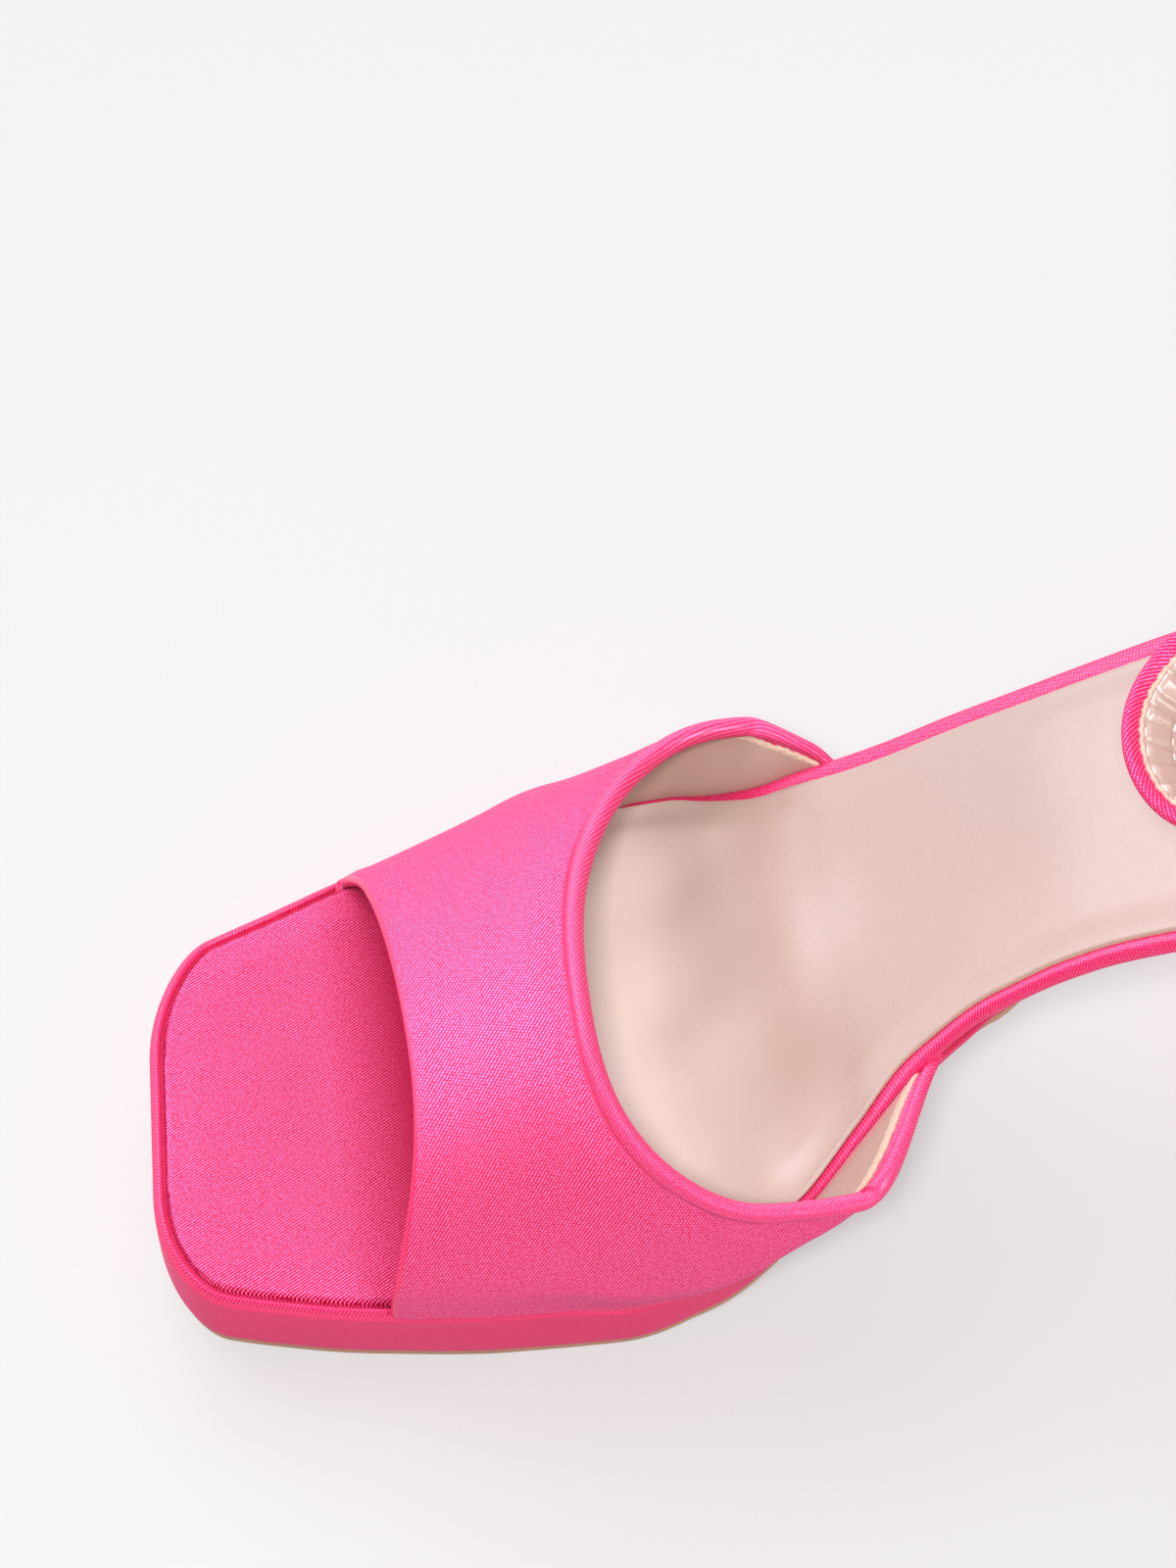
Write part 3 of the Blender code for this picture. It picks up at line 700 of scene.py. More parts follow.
PLATFORM_EDGE = (         # depth here is a share of the platform's own depth
    Edge(0.6, 0.0),
    Edge(0.15, 0.035),
    Edge(0.0, 0.1),
    Edge(0.1, 0.5),
    Edge(0.4, 0.9),
    Edge(1.0, 1.0),
)
OUTSOLE_INSET_TOE = 0.9
OUTSOLE_INSET_WAIST = 1.5
OUTSOLE_TUCK_START = 108.0
OUTSOLE_HIDE_START = 126.0
OUTSOLE_HIDE_LENGTH = 8.0
OUTSOLE_HIDE = 3.0
OUTSOLE_FILL_LENGTH = 4.0
OUTSOLE_EDGE = (Edge(0.0, 0.0), Edge(0.0, 0.7), Edge(0.05, OUTSOLE_THICK - 0.4), Edge(0.5, OUTSOLE_THICK))


def rim_tuck(along):
    """How far the rim draws in under the vamp, out of sight."""
    return TUCK_DEPTH * stay(along, SOCK_TUCK_START, SOCK_TUCK_LENGTH, RIM_RISE, RIM_RISE_LENGTH)


def rim_dive(along):
    """How far the rim lies under its own level where the vamp covers it."""
    return RIM_DIVE * stay(along, RIM_DIVE_START, RIM_DIVE_LENGTH, RIM_RISE, RIM_RISE_LENGTH)


def rim_share(along):
    """0 round the toe and 1 behind the vamp, where the rim is a binding."""
    return ramp(along, RIM_CHANGE, RIM_CHANGE_LENGTH)


def insole_board():
    """The board with its satin edge, a narrow roll round the toe and a broad binding behind the vamp."""
    rings = []
    for toe, waist in zip(rounded(TOE_RIM, EDGE_STEPS), rounded(WAIST_RIM, EDGE_STEPS)):
        def inset(side, along):
            bound = binding_inset[side](along) + waist[0] * binding_width[side](along)
            return toe[0] + (bound - toe[0]) * rim_share(along) + rim_tuck(along)

        def height(along):
            return below(along, toe[1] + (waist[1] - toe[1]) * rim_share(along) + rim_dive(along))
        rings.append(sided_ring(inset, height))
    return tube("insole_rim", rings, [SATIN_RIM], "insole_board", "satin", bias=20.0)


def wall_rise(along):
    """How far the platform's covered wall stands up beside the rim and under the vamp."""
    return LIP_HEIGHT * (1 - ramp(along, LIP_FADE, TUCK_FADE - LIP_FADE))


def platform_height(along, share):
    top = BOARD_THICK + GAP - wall_rise(along) * (1 - share)
    return below(along, top + share * platform_depth(along))


def platform_tail(along):
    """How far the thin end of the platform draws in under the board."""
    return PLATFORM_TAIL_DRAW * ramp(along, PLATFORM_TAIL, PLATFORM_END - PLATFORM_TAIL)


def platform_ring(inset, height):
    return sole_ring(lambda a: inset + platform_tail(a), height, end=PLATFORM_END)


def platform():
    rings = [platform_ring(WALL, lambda a: below(a, BOARD_THICK + GAP)),
             platform_ring(WALL - PLATFORM_DRAFT, lambda a: platform_height(a, 0.0))]
    for inset, share in rounded(PLATFORM_EDGE, EDGE_STEPS):
        rings.append(platform_ring(inset - PLATFORM_SPREAD, lambda a: platform_height(a, share)))
    return tube("platform_cover", rings, [SATIN_WALL], "platform", "satin")


def outsole_inset(along):
    """Close to the platform's wall in front, and tucked under the board behind it."""
    share = ramp(along, OUTSOLE_TUCK_START, PLATFORM_END - OUTSOLE_TUCK_START)
    hidden = OUTSOLE_HIDE * ramp(along, OUTSOLE_HIDE_START, OUTSOLE_HIDE_LENGTH)
    return OUTSOLE_INSET_TOE + (OUTSOLE_INSET_WAIST - OUTSOLE_INSET_TOE) * share + hidden


def outsole_height(along, depth):
    """The leaf lies under the platform, and behind its end it thickens up to the board."""
    room = GAP + platform_depth(along)
    filled = room * ramp(along, PLATFORM_END + GAP, OUTSOLE_FILL_LENGTH)
    return below(along, BOARD_THICK + GAP + room + depth - filled * (1 - depth / OUTSOLE_THICK))


def outsole():
    rings = []
    for inset, depth in rounded(OUTSOLE_EDGE, EDGE_STEPS):
        rings.append(sole_ring(lambda a: inset + outsole_inset(a), lambda a: outsole_height(a, depth),
                               end=HEEL_BREAST))
    return tube("outsole_leaf", rings, [TAN], "outsole", "outsole_rubber")


DENT_COLUMNS = "along across long wide height"
TOE_DENTS = table(
    DENT_COLUMNS,
    (17.0, 14.0, 7.0, 6.0, -0.35),
    (24.0, 3.0, 6.0, 9.0, -0.25),
    (11.0, -6.0, 6.0, 16.0, 0.25),
    (27.0, -22.0, 9.0, 9.0, 0.2),
)
BALL_DENTS = table(
    DENT_COLUMNS,
    (78.0, 34.0, 7.0, 7.0, 1.5),
    (87.0, 33.0, 5.0, 6.0, 0.7),
    (84.0, 25.0, 5.0, 5.0, -0.4),
    (93.0, 28.0, 6.0, 7.0, -0.3),
    (74.0, 14.0, 6.0, 9.0, 0.6),
    (86.0, 9.0, 5.0, 7.0, -0.35),
    (82.0, -3.0, 6.0, 6.0, 0.8),
    (91.0, -11.0, 6.0, 7.0, -0.4),
    (78.0, -21.0, 7.0, 8.0, 0.9),
    (88.0, -28.0, 6.0, 6.0, 0.6),
    (99.0, 8.0, 7.0, 10.0, 0.5),
    (103.0, -22.0, 7.0, 7.0, -0.4),
    (120.0, 8.0, 14.0, 12.0, -0.3),
    (150.0, 2.0, 20.0, 12.0, 0.3),
)
SOCK_EDGE = {             # radius of each sock's edge, and how far it drops
    "toe_sock": (1.1, 0.6),
    "insole_sock": (0.4, 0.12),
}
SOCK_SKIRT = 0.6          # share of the sock's thickness that its border turns down
SOCK_CROWDING = 0.5       # how much closer its grid lies at both sides
SOCK_CROWN = 0.5          # how much its padding stands up in the middle
SOCK_CROWN_REACH = 6.0


def toe_sock_inset(side, along):
    return TOE_SOCK_INSET + rim_tuck(along)


def insole_sock_inset(side, along):
    return binding_inset[side](along) + binding_width[side](along) + rim_tuck(along)


def sock(name, inset, start, end, dents, finishes, node, bias=0.0, fine=1.0):
    """A sock with padding: a grid across the board, low at its edge, crowned and dented, its border turned
    down.
    """
    crown = BOARD_RECESS - GAP - SOCK_THICK
    border = sided_ring(inset, insole_height, start=start, end=end)
    half = len(border) // 2
    crowded = (1 - np.cos(np.linspace(0, math.pi, ACROSS_STEPS + 1))) / 2
    share = SOCK_CROWDING * crowded + (1 - SOCK_CROWDING) * np.linspace(0, 1, ACROSS_STEPS + 1)
    share = share.reshape(1, -1, 1)
    plan = border[:half, None, :2] * (1 - share) + border[::-1][:half, None, :2] * share
    sides = np.concatenate([border[:half, :2], border[half:, :2]])
    if start == 0.0:
        sides = np.concatenate([sides, plan[0]])
    inner = np.linalg.norm(plan[:, :, None, :] - sides[None, None, :, :], axis=3).min(axis=2)
    radius, drop = SOCK_EDGE[node]
    turn_down = 1 - np.clip(inner / radius, 0, 1)
    padding = smoothstep(inner / SOCK_CROWN_REACH)
    depth = crown + drop * (1 - np.sqrt(1 - turn_down ** 2)) - SOCK_CROWN * padding
    along, across = plan[..., 0], plan[..., 1]
    for d in dents:
        near = bump(along - d.along, d.long) * bump(across - d.across, d.wide)
        depth = depth - d.height * near * padding
    grid = np.dstack([plan, below(along, depth)])
    mesh = grid_mesh(grid, cloth=turned(along, -across, bias) * fine)
    rim = [e for e in mesh.edges if e.is_boundary]
    skirt = bmesh.ops.extrude_edge_only(mesh, edges=rim)["geom"]
    lowered = [g for g in skirt if isinstance(g, bmesh.types.BMVert)]
    bmesh.ops.translate(mesh, vec=(0, 0, -SOCK_THICK * SOCK_SKIRT * MM), verts=lowered)
    for face in skirt:
        if isinstance(face, bmesh.types.BMFace):
            face.material_index = len(finishes) - 1
    bmesh.ops.recalc_face_normals(mesh, faces=mesh.faces)
    made = finished(name, mesh, finishes, node)
    return made


# Heel

HEEL_SEAT_SPREAD = 1.4
HEEL_BASE_FRONT = 182.0
HEEL_BASE_BACK = 222.0
HEEL_BASE_WIDTH = 40.0
HEEL_RINGS = 40
HEEL_DRAW = 1.9
HEEL_EDGE_ROUND = 0.5
HEEL_EDGE_SHARE = 0.008
HEEL_TIP_EDGE = (
    Edge(0.5, HEEL_TIP_THICK),
    Edge(0.2, HEEL_TIP_THICK - 0.3),
    Edge(0.2, 0.6),
    Edge(0.8, 0.0),
)


def heel_ring(share, inset, foot):
    """Ring of the heel at a share of the way from the seat, 0, to its foot, 1."""
    seat = sole_ring(lambda a: 0 * a + inset - HEEL_SEAT_SPREAD, lambda a: below(a, BOARD_THICK + GAP),
                     start=HEEL_BREAST + GAP)
    low, high = seat.min(axis=0), seat.max(axis=0)
    middle = (low[1] + high[1]) / 2
    base = HEEL_BASE_BACK - HEEL_BASE_FRONT
    along = HEEL_BASE_FRONT + base * (seat[:, 0] - low[0]) / (high[0] - low[0])
    across = middle + (seat[:, 1] - middle) * HEEL_BASE_WIDTH / (high[1] - low[1])
    draw = 1 - (1 - share) ** HEEL_DRAW
    plan = seat[:, :2] + (np.column_stack([along, across]) - seat[:, :2]) * draw
    return np.column_stack([plan, seat[:, 2] + (foot - seat[:, 2]) * share])


def heel():
    shares = np.linspace(0, 1, HEEL_RINGS)
    edge = np.array((0.0, HEEL_EDGE_SHARE * 0.3, HEEL_EDGE_SHARE))
    shares = np.concatenate([edge, shares[1:-1], 1 - edge[::-1]])
    rings = []
    for share in shares:
        near = np.clip(1 - min(share, 1 - share) / HEEL_EDGE_SHARE, 0, 1)
        rings.append(heel_ring(share, HEEL_EDGE_ROUND * near ** 2, HEEL_TIP_THICK + GAP))
    return tube("heel_cover", rings, [SATIN_WALL], "heel", "satin")


def heel_tip():
    rings = []
    for level in HEEL_TIP_EDGE:
        ring = heel_ring(1.0, level.inset, level.depth)
        ring[:, 2] = level.depth
        rings.append(ring)
    return tube("heel_top_piece", rings, [TAN], "heel_tip", "outsole_rubber")


# Vamp

TURN_STEP = 0.002         # between the places that give a direction
ALONG_STEP = 0.2


def by_side(turn, values):
    return np.where(turn < 0.5, values["lateral"], values["medial"])


def arch(turn):
    """0 at both edges of the board and 1 over its middle."""
    return np.clip(np.sin(math.pi * turn), 0, 1)


def vamp_rise(along, turn):
    """Height of the vamp over its seat."""
    slope = by_side(turn, {side: VAMP_SLOPE[side](along) for side in SIDES})
    return vamp_crest(along) * arch(turn) ** slope


def last_point(along, turn):
    """A point of the vamp's outside: turn runs from 0 at the lateral board edge to 1 at the medial one."""
    angle = math.pi * turn
    rise = vamp_rise(along, turn)
    flare = smoothstep(rise / FLARE_RISE)
    wing = 1 - tuck(along) / TUCK_DEPTH
    reach = {}
    for side in SIDES:
        slant = np.hypot(1.0, half_width(side, along + 0.5) - half_width(side, along - 0.5))
        edge = half_width(side, along) + (GAP + WALL) * wing * slant
        reach[side] = edge + (np.maximum(VAMP_WIDTH[side](along), edge) - edge) * flare
    middle = (reach["lateral"] - reach["medial"]) / 2
    spread = (reach["lateral"] + reach["medial"]) / 2
    across = middle + spread * np.cos(angle) - CREST_SKEW * np.sin(angle) ** 2
    along, across, height = np.broadcast_arrays(along, across, below(along, BOARD_THICK - lip(along)) + rise)
    return np.stack([along, across, height], axis=-1)


def last_normal(along, turn):
    """Outward direction of the vamp's surface."""
    after, before = np.minimum(turn + TURN_STEP, 1.0), np.maximum(turn - TURN_STEP, 0.0)
    round_way = last_point(along, after) - last_point(along, before)
    long_way = last_point(along + ALONG_STEP, turn) - last_point(along - ALONG_STEP, turn)
    normal = np.cross(round_way, long_way)
    normal[..., 2] *= smoothstep(vamp_rise(along, turn) / SEAT_RISE)
    return unit(normal)


def vamp_front(turn):
    bow = by_side(turn, VAMP_FRONT_BOW)
    return VAMP_FRONT_SIDE + (VAMP_FRONT_MIDDLE - VAMP_FRONT_SIDE) * arch(turn) ** bow


def vamp_back(turn):
    return VAMP_THROAT + (by_side(turn, VAMP_TAIL) - VAMP_THROAT) * np.abs(2 * turn - 1) ** THROAT_SHARPNESS


GIRTH_STEPS = 32
TAIL_TUCK = 6.0           # length of each wing's end that turns in under the board
TAIL_TUCK_ACROSS = 2.4
TAIL_TUCK_DOWN = 1.6
TAIL_TUCK_RISE = 6.0
SEAT_DRAW_RISE = 11.0     # below this height the wings close in on the binding


def girth(along, turn):
    """Distance round the vamp from its middle line, towards the inner side."""
    total = 0.0
    for k in range(GIRTH_STEPS):
        step = (turn - 0.5) / GIRTH_STEPS
        chord = last_point(along, 0.5 + step * (k + 1)) - last_point(along, 0.5 + step * k)
        total = total + np.linalg.norm(chord, axis=-1)
    return total * np.sign(turn - 0.5)


def wall_point(along, turn, offset):
    """A point of the vamp's wall, at an offset out from the last, whose wing ends turn in under the board."""
    point = last_point(along, turn) + last_normal(along, turn) * offset[..., None]
    share = smoothstep((along - by_side(turn, VAMP_TAIL) + TAIL_TUCK) / TAIL_TUCK)
    share = share * (1 - smoothstep(vamp_rise(along, turn) / TAIL_TUCK_RISE))
    low = 1 - smoothstep(vamp_rise(along, turn) / SEAT_DRAW_RISE)
    draw = np.maximum(by_side(turn, {side: binding_inset[side](along) for side in SIDES}), 0) * low
    point[..., 1] -= (TAIL_TUCK_ACROSS * share + draw) * np.where(turn < 0.5, 1, -1)
    point[..., 2] -= TAIL_TUCK_DOWN * share
    return point


BEAD = 1.55               # radius of the throat's rolled bead
BEAD_SINK = 1.1           # its centre under the vamp's outside
BEAD_TURN = 150.0         # degrees of it that show on each side
BEAD_STEPS = 26
FOLD_STEPS = 7
TROUGH = table(           # the satin dips and swells again beside the bead
    "from_bead height",
    (9.0, 0.0),
    (6.5, 0.08),
    (4.2, 0.02),
    (2.4, -0.14),
    (1.2, -0.24),
    (0.5, -0.2),
)
FOLD_SWELL = 0.25         # the folded front edge is a little thicker
FOLD_SWELL_PLACE = 2.4
FOLD_SWELL_REACH = 1.6


def vamp_turns():
    share = np.linspace(0, 1, VAMP_STEPS_ROUND + 1)
    return share - WING_CROWDING * np.sin(2 * math.pi * share) / (2 * math.pi)


TURNS = vamp_turns().reshape(-1, 1)


def vamp_span():
    """Front and throat places of the vamp for each turn, the way along the shoe for each millimetre of the
    vamp, the fullness of the throat's roll, and the distance run along its edge."""
    front, back = vamp_front(TURNS), vamp_back(TURNS)
    edge = last_point(back, TURNS)
    length = np.linalg.norm(edge - last_point(front, TURNS), axis=-1)
    roll = smoothstep(vamp_rise(back, TURNS) / FLARE_RISE)
    return front, back, (back - front) / length, roll, run_along(edge[:, 0]).reshape(-1, 1)


def vamp():
    """The satin wall: the outside from the folded front to the throat's bead, round it, and back inside."""
    front, back, scale, roll, run = vamp_span()
    bead = WALL / 2 + (BEAD - WALL / 2) * roll
    sink = WALL / 2 + (BEAD_SINK - WALL / 2) * roll
    nose = np.linspace(0, math.pi / 2, FOLD_STEPS).reshape(1, -1)
    fold_place = front + scale * WALL / 2 * (1 - np.cos(nose))
    fold_out = -WALL / 2 * (1 - np.sin(nose)) + 0 * front
    fold_in = -WALL / 2 * (1 + np.sin(nose)) + 0 * front
    ring = np.radians(np.linspace(BEAD_TURN, -BEAD_TURN, BEAD_STEPS)).reshape(1, -1)
    bead_place = back - scale * bead * (1 - np.cos(ring))
    bead_out = -sink + bead * np.sin(ring)
    bead_start = bead * (1 - math.cos(math.radians(BEAD_TURN)))
    dip = np.array([row.from_bead for row in TROUGH]).reshape(1, -1)
    dip_place = back - scale * (bead_start + dip)
    dip_out = np.array([row.height for row in TROUGH]).reshape(1, -1) * roll
    share = np.linspace(0, 1, VAMP_STEPS_ALONG + 1)[1:-1].reshape(1, -1)
    start, end = fold_place[:, -1:], dip_place[:, :1]
    plain_place = start + (end - start) * share
    plain_out = FOLD_SWELL * bump((plain_place - front) / scale - FOLD_SWELL_PLACE, FOLD_SWELL_REACH)
    inner_place = np.concatenate([start, plain_place, dip_place], axis=1)[:, ::-1]
    inner_out = 0 * inner_place - WALL
    place = [fold_place, plain_place, dip_place, bead_place, inner_place, fold_place[:, :0:-1]]
    place = np.concatenate(place, axis=1)
    offset = [fold_out, plain_out, dip_out, bead_out, inner_out, fold_in[:, :0:-1]]
    offset = np.concatenate(offset, axis=1)
    turn = TURNS + 0 * place
    grid = wall_point(place, turn, offset)
    outer = fold_place.shape[1] + plain_place.shape[1] + dip_place.shape[1]
    past = np.cumsum(np.linalg.norm(np.diff(grid[:, outer - 1:], axis=1), axis=2), axis=1)
    along = np.concatenate([place[:, :outer], place[:, outer - 1:outer] + past], axis=1)
    rolled = np.arange(place.shape[1]) >= outer
    cloth = np.dstack([along, np.where(rolled, run, girth(place, turn))])
    cloth = np.concatenate([cloth, cloth[:, -1:]], axis=1)

    # the folded front edge takes the darker satin, as painted shade; the bead takes its own satin
    def finish_at(row, column):
        if column < FOLD_STEPS - 1:
            return 2
        return int(outer <= column < outer + BEAD_STEPS)

    return tube("vamp_satin", grid, [SATIN, SATIN_BEAD, SATIN_FOLD_SHADE], "vamp", "satin",
                cloth=cloth, pick=finish_at)


LINING_THICK = 0.45
LINING_SINK = 0.1         # its back, inside the wall that it lines
LINING_FROM_FRONT = 2.6
LINING_TRIM_TURNS = (0.0, 0.5, 1.0)
LINING_TRIM = (3.3, 3.2, 4.4)   # from the throat's edge to the lining, at those turns
RAW_EDGE = (0.9, 0.9, 1.5)      # width of the pale cut edge beside the bead, at those turns
SCALLOP = 0.26
SCALLOP_PITCH = 1.25
LINING_STEPS = 40
RAW_STEPS = 4
RAW_THICK = 0.6           # share of the lining's thickness at its cut


def vamp_lining():
    """Nude lining inside the vamp, cut off raw beside the throat's bead."""
    front, back, scale, roll, run = vamp_span()
    uneven = 0.5 * np.sin(run * 2.1) * np.sin(run * 0.63)
    ripple = SCALLOP * (np.abs(np.sin(math.pi * run / SCALLOP_PITCH)) + uneven)
    trim = np.interp(TURNS, LINING_TRIM_TURNS, LINING_TRIM) * (0.5 + 0.5 * roll) + ripple
    raw = np.interp(TURNS, LINING_TRIM_TURNS, RAW_EDGE)
    near = back - scale * (trim + raw * np.linspace(0, 1, RAW_STEPS + 1).reshape(1, -1))
    start = front + scale * LINING_FROM_FRONT
    far = start + (near[:, -1:] - start) * np.linspace(1, 0, LINING_STEPS)[1:].reshape(1, -1)
    place = np.concatenate([near, far], axis=1)
    lift = np.full(place.shape[1], LINING_THICK)
    lift[0] = RAW_THICK * LINING_THICK
    low = -WALL + LINING_SINK + 0 * place
    high = -WALL - lift.reshape(1, -1) + 0 * place
    place = np.concatenate([place, place[:, ::-1]], axis=1)
    offset = np.concatenate([high, low], axis=1)
    grid = wall_point(place, TURNS + 0 * place, offset)
    last = grid.shape[1] - 1
    return tube("vamp_lining", grid, [LINING, CREAM], slot="sock_leather",
                pick=lambda row, column: int(column < RAW_STEPS or column == last))


# Counter and ankle strap

COUNTER_FOLD = 0.7        # height of the rounded fold at the counter's top
COUNTER_LEAN_POWER = 1.8
COUNTER_BULGE_SHARE = 0.8  # of its height, up to which it bulges


def lean(rise):
    """How far the counter's wall leans in over the heel at a height above the board's underside."""
    share = rise / COUNTER_RISE
    bulge = COUNTER_BULGE * np.sin(math.pi * np.minimum(1.0, share / COUNTER_BULGE_SHARE))
    return COUNTER_LEAN * share ** COUNTER_LEAN_POWER - bulge


COUNTER_SPAN = slice(station_index(COUNTER_FRONT), 2 * len(STATIONS) - station_index(COUNTER_FRONT))
COUNTER_PLAN = OUTLINE[COUNTER_SPAN]
COUNTER_INWARD = INWARD[COUNTER_SPAN]
COUNTER_TOP = counter_top(COUNTER_PLAN[:, 0]).reshape(-1, 1)


def counter_wall(offset, rise):
    """Points at a height above the board's underside and at an offset inwards of the counter's inner face."""
    inset = lean(rise) - GAP + offset
    plan = COUNTER_PLAN[:, None, :] + COUNTER_INWARD[:, None, :] * inset[..., None]
    low = below(COUNTER_PLAN[:, 0], BOARD_THICK).reshape(-1, 1)
    return np.dstack([plan, low + rise])


def counter():
    straight = np.linspace(0, 1, COUNTER_STEPS).reshape(1, -1) * (COUNTER_TOP - COUNTER_FOLD)
    nose = np.linspace(0, math.pi, 2 * FOLD_STEPS)[1:-1].reshape(1, -1)
    fold_rise = COUNTER_TOP - COUNTER_FOLD * (1 - np.sin(nose))
    rise = np.concatenate([straight, fold_rise, straight[:, ::-1]], axis=1)
    outer = np.full(straight.shape, -WALL)
    fold = -WALL / 2 - WALL / 2 * np.cos(nose) + 0 * COUNTER_TOP
    offset = np.concatenate([outer, fold, 0 * outer], axis=1)
    return tube("counter_satin", counter_wall(offset, rise), [SATIN], "counter", "satin")


COUNTER_LINING_DROP = 3.0
COUNTER_LINING_SINK = 0.05
COUNTER_SCALLOP_STEP = 1.6


def counter_lining():
    """Nude lining inside the counter, cut off raw under its top fold."""
    drop = np.minimum(COUNTER_LINING_DROP, 0.5 * COUNTER_TOP)
    ripple = SCALLOP * np.abs(np.sin(COUNTER_SCALLOP_STEP * np.arange(len(COUNTER_TOP)))).reshape(-1, 1)
    share = np.linspace(0, 1, COUNTER_STEPS).reshape(1, -1)
    rise = BOARD_THICK + (COUNTER_TOP - drop - ripple - BOARD_THICK) * share
    rise = np.concatenate([rise, rise[:, ::-1]], axis=1)
    offset = np.repeat([-COUNTER_LINING_SINK, LINING_THICK], COUNTER_STEPS) + 0 * rise
    edge = (COUNTER_STEPS - 1, COUNTER_STEPS)
    return tube("counter_lining", counter_wall(offset, rise), [LINING, CREAM], slot="sock_leather",
                pick=lambda row, column: int(column in edge))


STRAP_TURN_STEP = 0.004   # between the places that give a direction


def strap_centre(turn):
    """Middle line of the slack strap: straight roots inside the counter, and a loop that drops forward."""
    from_end = np.minimum(turn, 1 - turn) / STRAP_ROOT_SHARE
    angle = math.pi * np.clip((turn - STRAP_ROOT_SHARE) / (1 - 2 * STRAP_ROOT_SHARE), 0, 1)
    root = STRAP_ROOT + (STRAP_LOOP - STRAP_ROOT) * from_end
    along = np.where(from_end < 1, root, STRAP_LOOP + (STRAP_APEX - STRAP_LOOP) * np.sin(angle))
    drop = smoothstep((STRAP_ROOT - along) / (STRAP_ROOT - STRAP_APEX))
    half = STRAP_HALF + STRAP_SLACK * np.sin(angle) ** 4
    across = STRAP_MIDDLE + half * np.cos(angle) + STRAP_SWAY * np.sin(angle)
    height = STRAP_ROOT_HEIGHT + (STRAP_APEX_HEIGHT - STRAP_ROOT_HEIGHT) * drop
    return np.stack([along, across, height], axis=-1), np.sin(angle)


def strap_axes(turn):
    """Centre, upward direction in the band's face, outward direction and distance run, for each turn."""
    centre, bend = strap_centre(turn)
    after, before = np.minimum(turn + STRAP_TURN_STEP, 1.0), np.maximum(turn - STRAP_TURN_STEP, 0.0)
    ahead = unit(strap_centre(after)[0] - strap_centre(before)[0])
    upright = np.array((0.0, 0.0, 1.0))
    outward = unit(np.cross(ahead, upright))
    tilt = np.radians(STRAP_ROOT_TILT + (STRAP_APEX_TILT - STRAP_ROOT_TILT) * smoothstep(bend))[:, None]
    up = upright * np.cos(tilt) + outward * np.sin(tilt)
    up = unit(up - ahead * (up * ahead).sum(axis=1, keepdims=True))
    return centre, up, np.cross(ahead, up), run_along(centre)


STRAP_AXES = strap_axes(np.linspace(0, 1, STRAP_STEPS + 1))
STRAP_RUN = STRAP_AXES[3].reshape(-1, 1)
PUFF_PITCH = 3.0          # along the strap, from one gather to the next
PUFF_HEIGHT = 0.75
OUTSIDE_PUFF = 0.1
STRAP_LINING_HALF = 3.2
STRAP_LINING_STEPS = 32
STRAP_LINING_BASE = 0.2   # its thickness between the gathers
STRAP_LINING_SINK = 0.1
STRAP_LINING_SPILL = 0.3  # how far its gathers reach past its half width
STRAP_LINING_ROUND = 6    # how sharply they end there
STITCH_ROW = 2.4          # from the strap's middle line
STITCH_PULL = 0.55
STITCH_PULL_REACH = 0.4
STRAP_EDGE_STEPS = 8
STRAP_FACE_STEPS = 14


def strap_points(across, out):
    """Places on the strap: across its band from the middle line, and out from its middle surface, by row."""
    centre, up, face, _ = STRAP_AXES
    return centre[:, None, :] + up[:, None, :] * across[..., None] + face[:, None, :] * out[..., None]


def puff(run, across):
    """Height of the gathers at a distance along the strap, uneven from one to the next."""
    shift = 0.5 * np.sin(run * 0.37) + 0.25 * np.sin(run * 0.91 + across * 0.2)
    phase = math.pi * (run + shift) / PUFF_PITCH
    return np.abs(np.sin(phase)) ** 0.8 * (0.85 + 0.15 * np.sin(run * 1.7))


def ankle_strap():
    """The satin band, its edges turned in over the lining's side."""
    radius = (STRAP_OUTSIDE + STRAP_INSIDE) / 2
    middle = (STRAP_OUTSIDE - STRAP_INSIDE) / 2
    flat = STRAP_WIDTH / 2 - radius
    nose = np.linspace(-math.pi / 2, math.pi / 2, STRAP_EDGE_STEPS)
    line = np.linspace(-flat, flat, STRAP_FACE_STEPS)[1:-1]
    turn_in, turn_out = radius * np.cos(nose), radius * np.sin(nose)
    across = np.concatenate([line, flat + turn_in[::-1], line[::-1], -flat - turn_in])
    out = np.concatenate([0 * line + radius, turn_out[::-1], 0 * line - radius, turn_out])
    gather = OUTSIDE_PUFF * puff(STRAP_RUN, 0.0) * (1 - (across / (flat + radius)) ** 2) * np.sign(out)
    grid = strap_points(across + 0 * STRAP_RUN, middle + out + gather)
    return tube("strap_satin", grid, [SATIN_STRAP], "ankle_strap", "satin", bias=-5.0)


def lining_height(run, across):
    """How far the gathered lining stands in from the strap's middle surface."""
    pull = 1 - STITCH_PULL * bump(np.abs(across) - STITCH_ROW, STITCH_PULL_REACH)
    share = np.abs(across) / (STRAP_LINING_HALF + STRAP_LINING_SPILL)
    edge = np.clip(1 - share ** STRAP_LINING_ROUND, 0, 1)
    return STRAP_INSIDE + STRAP_LINING_BASE + PUFF_HEIGHT * puff(run, across) * pull * edge


